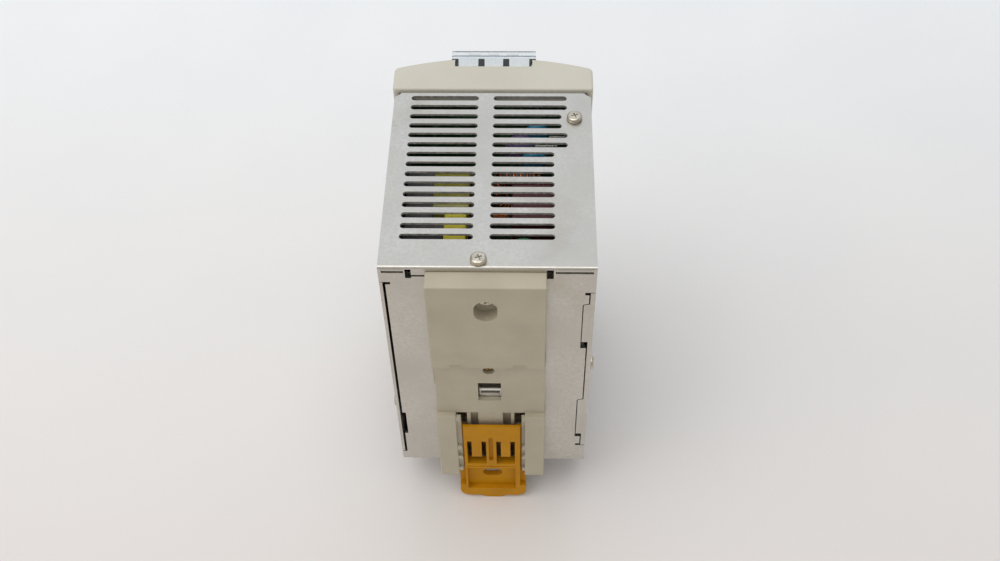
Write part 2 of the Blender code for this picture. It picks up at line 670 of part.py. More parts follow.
def rail_slider(plastic):
    """Locking slider: a plate with two spring tongues, guide flanges and a tray for a screwdriver."""
    plate = box((-SLIDER_HALF, SLIDER_HALF), (SLIDER_BACK, LIP_FACE), (SLIDER_END + 4, SLIDER_TOP))
    obj = make("rail_slider", plate, plastic)
    foot = SLIDER_END + 5.7
    sides = []
    for side in (-1, 1):
        flange = sorted((side * 9.9, side * FLANGE_HALF))
        edge = sorted((side * 9.9, side * SLIDER_HALF))
        sides.append(box(flange, (-1.0, SEAT + 0.2), (foot, FLANGE_TOP)))
        sides.append(box(edge, (-0.9, LIP_FACE - 0.1), (foot, FLANGE_TOP - 0.4)))
    join(obj, *sides)
    join(obj,
         box((-SLIDER_HALF, SLIDER_HALF), (-2.1, LIP_FACE), (foot - 1, -52.6)),
         prism(slider_outline(), "Y", -1.0, LIP_FACE))
    cut(obj, *[box(window, (-3.0, LIP_FACE + 1), WINDOW_HEIGHTS) for window in SLIDER_WINDOWS])
    ramp = [(LIP_FACE - 0.3, -53.0), (-2.1, -53.0), (-2.1, -51.2), (-0.6, -51.2)]
    join(obj, *[prism(ramp, "X", low - 0.2, high + 0.2) for low, high in SLIDER_WINDOWS])
    join(obj, *[box((low + 1.6, high - 1.6), (1.1, 2.3), (-49.0, -35.0)) for low, high in SLIDER_WINDOWS])
    rebate = box((-SLIDER_HALF - 1, SLIDER_HALF + 1), (SEAT, RAIL_THICKNESS + 0.1),
                 (SLIDER_TOP - 2.0, SLIDER_TOP + 1))
    cut(obj,
        box((-9.3, 10.4), (TRAY_FLOOR, LIP_FACE + 1), (foot, TRAY_TOP)),
        prism(slot(-3.9, 4.2, -63.4, 5.8, 4), "Y", -3.0, LIP_FACE),
        box((-0.4, 1.3), (1.3, LIP_FACE + 1), (-50.0, -32.6)),
        rebate)
    hang(obj, (0, 0, SLIDER_TOP))
    return obj


# ---------------------------------------------------------------- inside

def boards(laminate):
    """Main, filter and front circuit boards."""
    main_board = box((MAIN_BOARD_X, MAIN_BOARD_X + BOARD), BOARD_DEPTHS, BOARD_HEIGHTS)
    make("main_board", main_board, laminate)
    filter_board = box((FILTER_BOARD_X - BOARD, FILTER_BOARD_X), BOARD_DEPTHS, (-20.0, BOARD_HEIGHTS[1]))
    make("filter_board", filter_board, laminate)
    front_board = box((-34.0, 34.0), (FRONT_BOARD_Y - BOARD, FRONT_BOARD_Y), BOARD_HEIGHTS)
    make("front_board", front_board, laminate)


def standoffs(metal):
    """Spacers between the boards and the side sheets."""
    inner = CASE_HALF - SIDE_SHEET - GAP
    for i, centre in enumerate(MAIN_STANDOFFS):
        spacer = rod("X", centre, 3.0, MAIN_BOARD_X + BOARD + GAP, inner, 6)
        make(f"main_standoff_{i + 1}", spacer, metal)
    for i, centre in enumerate(FILTER_STANDOFFS):
        spacer = rod("X", centre, 3.0, -inner, FILTER_BOARD_X - BOARD - GAP, 6)
        make(f"filter_standoff_{i + 1}", spacer, metal)


def insulation_sheet(film):
    """Thin insulating sheet behind the rear panel."""
    make("insulation_sheet", box((-30.0, 30.0), (-9.0, -8.6), (-54.0, 57.0)), film)


def transformer(ferrite, tape):
    """Core with three legs along X and the taped winding on the middle leg."""
    core = make("transformer_core", box(*CORE), ferrite)
    through = (CORE[2][0] - 1, CORE[2][1] + 1)
    gap = (COIL[0][0] - GAP, COIL[0][1] + GAP)
    cut(core, box(gap, (-58.0, -52.0), through), box(gap, (-44.0, -38.0), through))
    winding = make("transformer_winding", box(*COIL), tape)
    cut(winding, box((COIL[0][0] - 1, COIL[0][1] + 1), (-52.3, -43.7),
                     (CORE[2][0] - GAP, CORE[2][1] + GAP)))


def cylinder_can(name, material, centre, radius, low, high):
    """An electrolytic can lying along X with a rolled edge."""
    profile = [(0, low), (radius - 0.5, low), (radius, low + 0.6), (radius, high - 2.2),
               (radius - 0.6, high - 1.8), (radius, high - 1.2), (radius, high), (0, high)]
    make(name, turned(profile, "X", centre, 16), material, smooth=True)


def film_box(name, material, limits):
    """A potted film capacitor: a box with round edges along X."""
    x, y, z = limits
    make(name, prism(rounded(y[0], y[1], z[0], z[1], 0.6, 1), "X", x[0], x[1]), material)


def disc(name, material, centre, radius, y, half=2.0):
    """A dipped disc across Y; centre holds X and Z."""
    rim = radius - 1.4
    profile = [(0, y - half), (rim, y - half), (radius, y - half * 0.4), (radius, y + half * 0.4),
               (rim, y + half), (0, y + half)]
    make(name, turned(profile, "Y", centre, 14), material, smooth=True)


def capacitors(sleeve_finish, film_red, film_yellow, disc_blue):
    """Electrolytic cans, film boxes and ceramic discs."""
    cylinder_can("bulk_capacitor", sleeve_finish, (-30.0, -2.0), 12.5, -2.0, ON_BOARD)
    for i in range(3):
        centre = (-30.0 - 14.0 * i, -46.5)
        cylinder_can(f"output_capacitor_{i + 1}", sleeve_finish, centre, 5.0, 11.0, ON_BOARD)
    film_box("film_capacitor", film_red, FILM_CAPACITOR)
    film_box("x_capacitor", film_yellow, X_CAPACITOR)
    disc("y_capacitor_1", disc_blue, (-16.0, 52.0), DISC_RADIUS, -67.5)
    disc("y_capacitor_2", disc_blue, (-17.0, 52.0), DISC_RADIUS, -82.0)


def chokes(ferrite, copper):
    """Common mode choke on the filter board, output inductor and a small line inductor."""
    x, z, y = CHOKE
    make("choke_core", toroid((x, z), "Y", y, 8.5, 3.0), ferrite)
    make("choke_winding", sleeve((x, z), "Y", y, 8.5, 4.6, 3.4, 20, 340), copper, smooth=True)
    y, z, x = INDUCTOR
    make("inductor_core", toroid((y, z), "X", x, 8.0, 2.8), ferrite)
    make("inductor_winding", sleeve((y, z), "X", x, 8.0, 4.4, 3.2, 20, 340), copper, smooth=True)
    make("line_inductor", rod("X", (-36.6, 54.8), 3.2, -6.6, -0.6, 14), copper, smooth=True)


def heat_sinks(aluminium, package):
    """Two finned plates, each with its power device."""
    x = (6.0, ON_BOARD)
    primary = make("primary_heatsink", box(x, (-71.0, -68.0), (-22.0, 44.0)), aluminium)
    join(primary, *[box((at, at + 1.2), (-75.0, -70.5), (-22.0, 44.0)) for at in (8.0, 14.0, 20.0, 26.0)])
    make("switching_transistor", box((13.0, 23.0), (-67.7, -63.4), (-16.0, 0.0)), package)
    secondary = make("secondary_heatsink", box(x, (-64.0, -20.0), (-33.0, -30.0)), aluminium)
    join(secondary, *[box(x, (at, at + 1.2), (-30.5, -26.0)) for at in (-62.0, -55.0, -48.0, -24.0)])
    make("output_rectifier", box((13.0, 23.0), (-52.0, -36.0), (-37.6, -33.3)), package)


def small_parts(disc_violet, disc_green, package, glass):
    """Surge suppressor, thermistor, relay and fuse."""
    disc("surge_suppressor", disc_violet, (-10.7, 50.0), LARGE_DISC_RADIUS, -75.5, 4.0)
    disc("inrush_thermistor", disc_green, (-12.3, 50.0), LARGE_DISC_RADIUS, -24.5)
    film_box("inrush_relay", package, RELAY)
    make("fuse", rod("Z", (-28.0, -84.0), 2.6, 10.0, 30.0, 12), glass)


def main():
    """Builds every piece."""
    for obj in list(bpy.data.objects):
        bpy.data.objects.remove(obj, do_unlink=True)
    zinc_sheet = finish("zinc_plated_sheet", (0.56, 0.55, 0.52), 0.38, 1.0)
    zinc = finish("zinc_plated_screw", (0.62, 0.62, 0.60), 0.3, 1.0)
    brass = finish("yellow_passivated_screw", (0.62, 0.48, 0.22), 0.35, 1.0)
    bezel_plastic = finish("beige_abs", (0.58, 0.55, 0.46), 0.5)
    clip_plastic = finish("beige_polyamide", (0.42, 0.38, 0.28), 0.55)
    ochre = finish("ochre_polyamide", (0.52, 0.25, 0.02), 0.5)
    black = finish("black_polyamide", (0.02, 0.02, 0.02), 0.5)
    clear = finish("clear_polycarbonate", (0.86, 0.88, 0.88), 0.1, 0.0, 0.35)
    laminate = finish("green_laminate", (0.05, 0.18, 0.07), 0.5)
    ferrite = finish("ferrite", (0.06, 0.06, 0.06), 0.6)
    copper = finish("enamelled_copper", (0.60, 0.22, 0.06), 0.3, 1.0)
    aluminium = finish("aluminium", (0.6, 0.6, 0.6), 0.4, 1.0)

    case_sheet(zinc_sheet)
    side_covers(zinc_sheet)
    case_screws(zinc)
    front_bezel(bezel_plastic)
    for group, side, poles in (("input", 1, 3), ("output", -1, 4)):
        terminal_block(f"{group}_terminal_block", black, side, poles)
        terminal_screws(zinc, group, side, poles)
        terminal_cover(f"{group}_terminal_cover", clear, side, poles)
    lamp("power_lamp", finish("green_lens", (0.05, 0.5, 0.1), 0.2))
    lamp("alarm_lamp", finish("red_lens", (0.55, 0.03, 0.02), 0.2))
    voltage_trimmer(finish("blue_trimmer", (0.03, 0.12, 0.45), 0.4),
                    finish("white_nylon", (0.8, 0.8, 0.78), 0.5))
    rail_bracket(clip_plastic)
    bracket_screws(zinc, brass)
    rail_slider(ochre)

    boards(laminate)
    standoffs(brass)
    insulation_sheet(finish("insulating_film", (0.75, 0.74, 0.68), 0.4))
    transformer(ferrite, finish("yellow_tape", (0.55, 0.45, 0.05), 0.4))
    capacitors(finish("black_sleeve", (0.03, 0.03, 0.035), 0.35),
               finish("red_film_case", (0.25, 0.03, 0.03), 0.35),
               finish("yellow_film_case", (0.75, 0.62, 0.08), 0.35),
               finish("blue_disc", (0.03, 0.25, 0.5), 0.35))
    chokes(ferrite, copper)
    heat_sinks(aluminium, black)
    small_parts(finish("violet_disc", (0.25, 0.12, 0.4), 0.4),
                finish("green_disc", (0.05, 0.3, 0.12), 0.4), black,
                finish("glass_tube", (0.8, 0.82, 0.8), 0.1, 0.0, 0.5))


main()
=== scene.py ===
"""Visual model of a power supply for a 35 mm din rail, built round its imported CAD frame.

The frame's axes: +Y points from the case to the rail, so the front faces -Y, and +Z is up.
Sizes in the classes are in millimetres; a mesh is made in metres.
"""

import logging
import math
from dataclasses import dataclass
from enum import Enum
from typing import Callable, Iterable, Sequence

import bmesh
import bpy
from mathutils import Matrix, Vector


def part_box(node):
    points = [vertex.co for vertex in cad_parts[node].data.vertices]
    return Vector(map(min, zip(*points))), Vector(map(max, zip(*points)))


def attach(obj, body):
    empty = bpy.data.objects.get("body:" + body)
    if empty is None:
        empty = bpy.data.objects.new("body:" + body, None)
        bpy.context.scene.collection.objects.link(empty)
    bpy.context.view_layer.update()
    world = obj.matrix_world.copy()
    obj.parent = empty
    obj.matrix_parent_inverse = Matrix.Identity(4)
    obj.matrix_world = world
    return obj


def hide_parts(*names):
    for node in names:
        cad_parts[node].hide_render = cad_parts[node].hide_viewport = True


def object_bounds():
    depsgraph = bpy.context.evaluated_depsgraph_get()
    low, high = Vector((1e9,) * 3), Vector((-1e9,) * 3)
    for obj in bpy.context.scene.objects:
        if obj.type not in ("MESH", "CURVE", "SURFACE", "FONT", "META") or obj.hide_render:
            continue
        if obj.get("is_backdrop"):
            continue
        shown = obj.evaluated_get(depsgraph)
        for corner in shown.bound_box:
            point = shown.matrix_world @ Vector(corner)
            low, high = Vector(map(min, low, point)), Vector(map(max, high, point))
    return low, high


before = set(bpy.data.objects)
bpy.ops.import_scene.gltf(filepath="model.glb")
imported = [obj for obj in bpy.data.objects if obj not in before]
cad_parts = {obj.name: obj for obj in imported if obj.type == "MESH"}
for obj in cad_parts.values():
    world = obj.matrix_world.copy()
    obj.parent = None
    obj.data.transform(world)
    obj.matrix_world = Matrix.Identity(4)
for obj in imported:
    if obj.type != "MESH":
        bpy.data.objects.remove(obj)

log = logging.getLogger("power_supply")

MM = 0.001
GAP = 0.3
Point = tuple[float, float]
Span = tuple[float, float]
Triple = tuple[float, float, float]


# ---------------------------------------------------------------- options

class Axis(Enum):
    """The line that a solid is swept or turned along."""

    X = 0
    Y = 1
    Z = 2

    def point(self, level: float, a: float, b: float) -> Vector:
        """A point in metres, from its level on the axis and its two other coordinates.

        Args:
            level: Its level on the axis.
            a: The first of its other coordinates.
            b: The second of them.

        Returns:
            The point.
        """
        spot = [a, b]
        spot.insert(self.value, level)
        return Vector(spot) * MM

    def polar(self, level: float, centre: Point, reach: float, turn: float) -> Vector:
        """A point in metres, from its level, and its distance and angle in radians about a centre."""
        return self.point(level, centre[0] + reach * math.cos(turn), centre[1] + reach * math.sin(turn))


class Recess(Enum):
    """The drive in a screw's head."""

    CROSS = "cross"
    CROSS_AND_SLOT = "cross and slot"


class End(Enum):
    """The end of the bezel that a terminal bay stands at."""

    UPPER = 1
    LOWER = -1


# ---------------------------------------------------------------- outlines

def arc(cx: float, cy: float, radius: float, start: float, end: float, steps: int) -> list[Point]:
    """Points on an arc.

    Args:
        cx: Centre on the first axis.
        cy: Centre on the second axis.
        radius: Radius of the arc.
        start: First angle, in degrees.
        end: Last angle, in degrees.
        steps: Number of chords.

    Returns:
        The points in order.
    """
    angles = [math.radians(start + (end - start) * i / steps) for i in range(steps + 1)]
    return [(cx + radius * math.cos(t), cy + radius * math.sin(t)) for t in angles]


def circle(cx: float, cy: float, radius: float, sides: int) -> list[Point]:
    """A round outline with a number of sides."""
    return arc(cx, cy, radius, 0, 360 - 360 / sides, sides - 1)


def rounded(x: Span, y: Span, radius: float, steps: int = 5) -> list[Point]:
    """A rectangle with round corners, anticlockwise from its right side.

    Args:
        x: Its limits on the first axis.
        y: Its limits on the second axis.
        radius: Radius of the corners.
        steps: Number of chords in a corner.

    Returns:
        The outline.
    """
    corners = ((x[1] - radius, y[1] - radius, 0), (x[0] + radius, y[1] - radius, 90),
               (x[0] + radius, y[0] + radius, 180), (x[1] - radius, y[0] + radius, 270))
    return [p for cx, cy, turn in corners for p in arc(cx, cy, radius, turn, turn + 90, steps)]


def slot(ends: Span, cy: float, width: float, steps: int = 10) -> list[Point]:
    """A slot with round ends along the first axis.

    Args:
        ends: Its two ends on the first axis.
        cy: Its middle on the second axis.
        width: Its width.
        steps: Number of chords in an end.

    Returns:
        The outline.
    """
    r = width / 2
    low, high = sorted(ends)
    return arc(high - r, cy, r, -90, 90, steps) + arc(low + r, cy, r, 90, 270, steps)


def swapped(outline: Iterable[Point]) -> list[Point]:
    """The same outline with its two axes exchanged."""
    return [(b, a) for a, b in outline]


# ---------------------------------------------------------------- solids

class Solid:
    """A closed mesh under construction."""

    def __init__(self) -> None:
        """Starts empty."""
        self.mesh = bmesh.new()

    @classmethod
    def loft(cls, loops: Sequence[Sequence[Vector]], ring: bool = False) -> "Solid":
        """Skins loops one after the other.

        Args:
            loops: Points in metres, as many in each loop; a loop of one point is a pole.
            ring: True if the last loop joins the first one. Otherwise both ends are closed.

        Returns:
            The solid.
        """
        solid = cls()
        bm = solid.mesh
        rows = [[bm.verts.new(p) for p in loop] for loop in loops]
        pairs = list(zip(rows, rows[1:]))
        if ring:
            pairs.append((rows[-1], rows[0]))
        for low, high in pairs:
            count = max(len(low), len(high))
            for i in range(count):
                j = (i + 1) % count
                corners = [low[i % len(low)], low[j % len(low)],
                           high[j % len(high)], high[i % len(high)]]
                bm.faces.new(list(dict.fromkeys(corners)))
        if not ring:
            for row in (rows[0], rows[-1]):
                if len(row) > 2:
                    bm.faces.new(row)
        bmesh.ops.recalc_face_normals(bm, faces=bm.faces)
        return solid

    @classmethod
    def prism(cls, outline: Sequence[Point], axis: Axis, low: float, high: float) -> "Solid":
        """An outline swept along an axis from low to high."""
        return cls.loft([[axis.point(level, a, b) for a, b in outline] for level in (low, high)])

    @classmethod
    def box(cls, x: Span, y: Span, z: Span) -> "Solid":
        """A block between two limits on each axis."""
        return cls.prism([(x[0], y[0]), (x[1], y[0]), (x[1], y[1]), (x[0], y[1])], Axis.Z, *sorted(z))

    @classmethod
    def rod(cls, axis: Axis, centre: Point, radius: float, low: float, high: float,
            sides: int = 32) -> "Solid":
        """A round bar along an axis."""
        return cls.prism(circle(centre[0], centre[1], radius, sides), axis, low, high)

    @classmethod
    def turned(cls, profile: Sequence[Point], axis: Axis, centre: Point, sides: int = 32) -> "Solid":
        """A solid turned about an axis.

        Args:
            profile: (radius, level) from one pole to the other.
            axis: The axis that it is turned about.
            centre: Where the axis stands, in its two other coordinates.
            sides: Number of facets round it.

        Returns:
            The solid.
        """
        loops = []
        for radius, level in profile:
            points = [centre] if radius == 0 else circle(centre[0], centre[1], radius, sides)
            loops.append([axis.point(level, a, b) for a, b in points])
        return cls.loft(loops)

    @classmethod
    def tube(cls, path: Sequence[Vector], radius: float, sides: int = 8, ring: bool = False) -> "Solid":
        """A round wire along a path.

        Args:
            path: Points in metres.
            radius: Radius of the wire, in millimetres.
            sides: Number of facets round it.
            ring: True if the path's end joins its start.

        Returns:
            The solid.
        """
        count = len(path)
        side = Vector((0.31, 0.52, 0.80))
        loops = []
        for i, point in enumerate(path):
            if ring:
                run = path[(i + 1) % count] - path[i - 1]
            else:
                run = path[min(i + 1, count - 1)] - path[max(i - 1, 0)]
            run = run.normalized()
            side = (side - run * side.dot(run)).normalized()
            other = run.cross(side)
            loops.append([point + (side * a + other * b) * MM for a, b in circle(0, 0, radius, sides)])
        return cls.loft(loops, ring)

    @staticmethod
    def gather(solids: Iterable["Solid"]) -> bpy.types.Mesh:
        """Puts several solids in one mesh, which uses them up.

        Args:
            solids: The solids.

        Returns:
            The mesh, in metres.
        """
        target = bmesh.new()
        for solid in solids:
            scrap = bpy.data.meshes.new("scrap")
            solid.mesh.to_mesh(scrap)
            solid.mesh.free()
            target.from_mesh(scrap)
            bpy.data.meshes.remove(scrap)
        mesh = bpy.data.meshes.new("piece")
        target.to_mesh(mesh)
        target.free()
        return mesh


# ---------------------------------------------------------------- node trees

def linear(colour: str) -> tuple[float, float, float, float]:
    """Turns an sRGB hex colour into linear red, green, blue and alpha."""
    values = [int(colour[i:i + 2], 16) / 255 for i in (1, 3, 5)]
    return (*[v / 12.92 if v <= 0.04045 else ((v + 0.055) / 1.055) ** 2.4 for v in values], 1.0)


def add_node(tree: bpy.types.NodeTree, kind: str, settings: dict, links: dict) -> bpy.types.Node:
    """Adds a node to a tree.

    Args:
        tree: The tree that it goes in.
        kind: Blender's name for the node.
        settings: Values of its inputs, or of its own properties where no input has that name.
        links: The output socket that feeds each named input.

    Returns:
        The node.
    """
    node = tree.nodes.new(kind)
    for name, value in settings.items():
        if name in node.inputs:
            node.inputs[name].default_value = value
        else:
            setattr(node, name, value)
    for name, socket in links.items():
        tree.links.new(socket, node.inputs[name])
    return node


def cloud(tree: bpy.types.NodeTree, size: float, low: float, high: float, detail: float = 2.0,
          stretch: Triple = (1, 1, 1)) -> bpy.types.NodeSocket:
    """Draws soft patches of a real size in the piece's own space.

    Args:
        tree: The material's tree.
        size: Size of a patch, in millimetres.
        low: Value in the weakest patches.
        high: Value in the strongest patches.
        detail: How many finer octaves lie on the patches.
        stretch: Factors on the three axes, below 1 where the patches are drawn out.

    Returns:
        The socket that runs from low to high.
    """
    place = add_node(tree, "ShaderNodeTexCoord", {}, {})
    scaled = add_node(tree, "ShaderNodeMapping", {"Scale": stretch}, {"Vector": place.outputs["Object"]})
    noise = add_node(tree, "ShaderNodeTexNoise", {"Scale": 1 / (size * MM), "Detail": detail},
                     {"Vector": scaled.outputs["Vector"]})
    spread = add_node(tree, "ShaderNodeMapRange",
                      {"From Min": 0.3, "From Max": 0.7, "To Min": low, "To Max": high},
                      {"Value": noise.outputs["Fac"]})
    return spread.outputs["Result"]


def tint(tree: bpy.types.NodeTree, share: bpy.types.NodeSocket, first: bpy.types.NodeSocket | str,
         second: str) -> bpy.types.NodeSocket:
    """Mixes two colours.

    Args:
        tree: The material's tree.
        share: How much of the second colour there is, from 0 to 1.
        first: The first colour, as a hex value or a socket.
        second: The second colour, as a hex value.

    Returns:
        The mixed colour's socket.
    """
    settings = {"Color2": linear(second)}
    links = {"Fac": share}
    if isinstance(first, str):
        settings["Color1"] = linear(first)
    else:
        links["Color1"] = first
    return add_node(tree, "ShaderNodeMixRGB", settings, links).outputs["Color"]


def relief(tree: bpy.types.NodeTree, shader: bpy.types.Node, height: bpy.types.NodeSocket,
           depth: float) -> None:
    """Raises a surface by a pattern.

    Args:
        tree: The material's tree.
        shader: The Principled shader.
        height: The pattern, from 0 to 1.
        depth: What 1 stands for, in millimetres.
    """
    bump = add_node(tree, "ShaderNodeBump", {"Distance": depth * MM, "Strength": 1.0}, {"Height": height})
    tree.links.new(bump.outputs["Normal"], shader.inputs["Normal"])


# ---------------------------------------------------------------- finishes

# At this scale the bands of a wave texture are one metre apart.
WAVE_UNIT = 0.314
METAL = (("Metallic", 1.0),)


@dataclass(frozen=True)
class Finish:
    """What every finish has: a name, two close colours, a range of roughness and a grain."""

    name: str
    colour: str
    shade: str
    roughness: Span = (0.4, 0.5)
    patch: float = 12.0
    grain: float = 0.5
    depth: float = 0.004
    settings: tuple[tuple[str, object], ...] = ()

    def material(self) -> bpy.types.Material:
        """The material, made the first time that it is asked for.

        Returns:
            The material.
        """
        if self.name not in bpy.data.materials:
            made = bpy.data.materials.new(self.name)
            made.use_nodes = True
            shader = made.node_tree.nodes["Principled BSDF"]
            for name, value in self.settings:
                shader.inputs[name].default_value = value
            self.paint(made.node_tree, shader)
        return bpy.data.materials[self.name]

    def paint(self, tree: bpy.types.NodeTree, shader: bpy.types.Node) -> None:
        """Draws colour, roughness and grain with nodes."""
        self.connect(tree, shader, self.colours(tree), cloud(tree, self.grain, 0.0, 1.0))

    def colours(self, tree: bpy.types.NodeTree) -> bpy.types.NodeSocket:
        """The two colours in soft patches."""
        return tint(tree, cloud(tree, self.patch, 0.0, 1.0, 3.0), self.colour, self.shade)

    def connect(self, tree: bpy.types.NodeTree, shader: bpy.types.Node, colour: bpy.types.NodeSocket,
                height: bpy.types.NodeSocket) -> None:
        """Feeds the shader's colour, roughness and normal.

        Args:
            tree: The material's tree.
            shader: The Principled shader.
            colour: The colour's socket.
            height: The grain's socket.
        """
        tree.links.new(colour, shader.inputs["Base Color"])
        tree.links.new(cloud(tree, self.patch * 0.6, *self.roughness), shader.inputs["Roughness"])
        relief(tree, shader, height, self.depth)


@dataclass(frozen=True)
class PlatedSheet(Finish):
    """Cold rolled sheet steel, zinc plated: satin grey with faint handling stains."""

    stain: str = "#A89F8C"
    stained: float = 0.35

    def colours(self, tree: bpy.types.NodeTree) -> bpy.types.NodeSocket:
        """Grey patches with a fine speckle, and a few larger yellowish stains."""
        plated = tint(tree, cloud(tree, self.grain * 1.4, 0.0, 0.8, 1.0), super().colours(tree), self.shade)
        return tint(tree, cloud(tree, 34.0, -0.9, self.stained, 4.0), plated, self.stain)


@dataclass(frozen=True)
class TapedWinding(Finish):
    """Polyester tape wound in overlapping turns: glossy, with a darker line at each overlap."""

    lap: float = 7.0

    def colours(self, tree: bpy.types.NodeTree) -> bpy.types.NodeSocket:
        """Draws patches with thin dark lines, one for each turn of the tape.

        Args:
            tree: The material's tree.

        Returns:
            The colour's socket.
        """
        place = add_node(tree, "ShaderNodeTexCoord", {}, {})
        wave = add_node(tree, "ShaderNodeTexWave",
                        {"Scale": WAVE_UNIT / (self.lap * MM), "Distortion": 0.6, "bands_direction": "Z",
                         "wave_profile": "SAW"}, {"Vector": place.outputs["Object"]})
        line = add_node(tree, "ShaderNodeMapRange",
                        {"From Min": 0.86, "From Max": 1.0, "To Min": 0.0, "To Max": 0.7},
                        {"Value": wave.outputs["Fac"]})
        return tint(tree, line.outputs["Result"], super().colours(tree), self.shade)


@dataclass(frozen=True)
class CircuitLaminate(Finish):
    """Glass epoxy laminate under solder resist: a weave in the gloss and lighter copper tracks."""

    track: str = "#4F8A55"
    pitch: float = 7.0

    def colours(self, tree: bpy.types.NodeTree) -> bpy.types.NodeSocket:
        """Draws green resist with lighter areas where it lies on copper.

        Args:
            tree: The material's tree.

        Returns:
            The colour's socket.
        """
        place = add_node(tree, "ShaderNodeTexCoord", {}, {})
        cells = add_node(tree, "ShaderNodeTexVoronoi",
                         {"Scale": 1 / (self.pitch * MM), "distance": "MANHATTAN", "feature": "F1",
                          "Randomness": 0.7}, {"Vector": place.outputs["Object"]})
        step = add_node(tree, "ShaderNodeMapRange",
                        {"From Min": 0.42, "From Max": 0.46, "To Min": 1.0, "To Max": 0.0},
                        {"Value": cells.outputs["Distance"]})
        return tint(tree, step.outputs["Result"], super().colours(tree), self.track)


@dataclass(frozen=True)
class PaperFloor(Finish):
    """Pale uncoated paper, painted from a cool white to a darker, warmer tone along Y: a painted shade."""

    # Painted shade: the near edge's darker, warmer tone.
    warm: str = "#E2DDDA"
    run: Span = (-0.36, 0.14)

    def colours(self, tree: bpy.types.NodeTree) -> bpy.types.NodeSocket:
        """Draws the mottled paper with painted shade, darker and warmer towards the near edge.

        Args:
            tree: The material's tree.

        Returns:
            The colour's socket.
        """
        place = add_node(tree, "ShaderNodeTexCoord", {}, {})
        parts = add_node(tree, "ShaderNodeSeparateXYZ", {}, {"Vector": place.outputs["Object"]})
        share = add_node(tree, "ShaderNodeMapRange", {"From Min": self.run[0], "From Max": self.run[1]},
                         {"Value": parts.outputs["Y"]})
        return tint(tree, share.outputs["Result"], super().colours(tree), self.warm)


# The zinc layer is thin, so the rolled sheet's fine grain still breaks up the reflections.
# The grain is drawn 0.9 mm coarse, several times the real one, because the real one is too fine to show.
ZINC_SHEET = PlatedSheet("zinc_plated_sheet_steel", "#D4D2CC", "#C4C1B9", (0.27, 0.38), 22.0, 0.9, 0.003,
                         METAL)
# Punching shears the zinc off, so the walls of the slots are a rougher, plainer grey.
SHEARED_EDGE = Finish("sheared_sheet_steel_edge", "#D2D1CD", "#A9A8A4", (0.8, 0.95), 1.6, 0.15, 0.01, METAL)
# The hook tab's zinc is painted lighter than the sheet, a painted highlight, and is rougher so it scatters
# more light.
TAB_ZINC_PAINTED_HIGHLIGHT = Finish("zinc_plated_steel_painted_highlight", "#F6F5F1", "#E9E7E2", (0.5, 0.62), 3.0, 0.2, 0.005,
                        METAL)
# Barrel plated screws keep a warmer, brighter tone than the sheet.
ZINC_SCREW = Finish("nickel_plated_screw_steel", "#D6D0C2", "#B8B1A2", (0.18, 0.32), 2.0, 0.25, 0.004,
                    METAL)
# Chromate over zinc looks brassy, with a faint green cast.
YELLOW_SCREW = Finish("yellow_passivated_screw_steel", "#B59A5C", "#8F7640", (0.25, 0.4), 1.5, 0.25,
                      0.004, METAL)
# Tin is soft and pale, so the clamps are a dull silver.
TERMINAL_METAL = Finish("tin_plated_terminal_brass", "#D9D6CE", "#BDB9AF", (0.22, 0.34), 2.5, 0.3, 0.004,
                        METAL)
# ABS moulded in a spark eroded tool: an even matt beige with a fine pebble.
BEIGE_ABS = Finish("moulded_beige_abs", "#CCCABF", "#C6C3B6", (0.42, 0.55), 30.0, 0.55, 0.012,
                   (("IOR", 1.53),))
# The clip is a tougher polyamide, a little browner and duller than the bezel.
BEIGE_CLIP = Finish("moulded_beige_polyamide", "#BAB39F", "#B0A995", (0.45, 0.6), 18.0, 0.5, 0.012,
                    (("IOR", 1.53),))
# The slider's deep yellow polyamide is matt, with little sheen.
OCHRE_CLIP = Finish("moulded_ochre_polyamide", "#C48A00", "#B87F00", (0.5, 0.65), 9.0, 0.5, 0.010,
                    (("IOR", 1.53), ("Specular IOR Level", 0.2)))
# Glass filled polyamide is a soft black with a low sheen.
BLACK_BLOCK = Finish("moulded_black_polyamide", "#1B1C1E", "#242527", (0.35, 0.5), 8.0, 0.4, 0.008,
                     (("IOR", 1.53),))
# Polycarbonate transmits nearly all light; its edges and lips show as grey lines.
CLEAR_COVER = Finish("moulded_clear_polycarbonate", "#F2F6F7", "#EAF0F2", (0.02, 0.06), 20.0, 3.0, 0.004,
                     (("IOR", 1.585), ("Transmission Weight", 1.0)))
# Tinted epoxy lets some light through, so an unlit lamp looks deep and glossy.
GREEN_LENS = Finish("cast_green_epoxy_lens", "#2E9E4A", "#23843B", (0.08, 0.14), 2.0, 0.4, 0.002,
                    (("IOR", 1.54), ("Transmission Weight", 0.55)))
RED_LENS = Finish("cast_red_epoxy_lens", "#B3231C", "#991A14", (0.08, 0.14), 2.0, 0.4, 0.002,
                  (("IOR", 1.54), ("Transmission Weight", 0.55)))
# The thermoset case is hard and half matt; the nylon rotor is a waxy off-white.
TRIMMER_BODY = Finish("moulded_blue_thermoset", "#27508F", "#1F4277", (0.35, 0.5), 3.0, 0.4, 0.006,
                      (("IOR", 1.55),))
TRIMMER_ROTOR = Finish("moulded_white_nylon", "#DEDCD3", "#D2CFC4", (0.35, 0.5), 2.0, 0.3, 0.006,
                       (("IOR", 1.53),))
# Solder resist is a satin green that shows the copper under it as lighter tracks.
LAMINATE = CircuitLaminate("solder_masked_glass_epoxy", "#2C5B36", "#24502E", (0.3, 0.42), 14.0, 0.8,
                           0.01, (("IOR", 1.55),))
# Turning leaves brass bright, and the die cut film is milky and smooth.
STANDOFF_BRASS = Finish("turned_brass", "#C9A45A", "#B28C46", (0.2, 0.32), 2.0, 0.3, 0.004, METAL)
FILM = Finish("die_cut_polyester_film", "#D8D5C6", "#CBC8B8", (0.3, 0.4), 25.0, 2.0, 0.02, (("IOR", 1.6),))
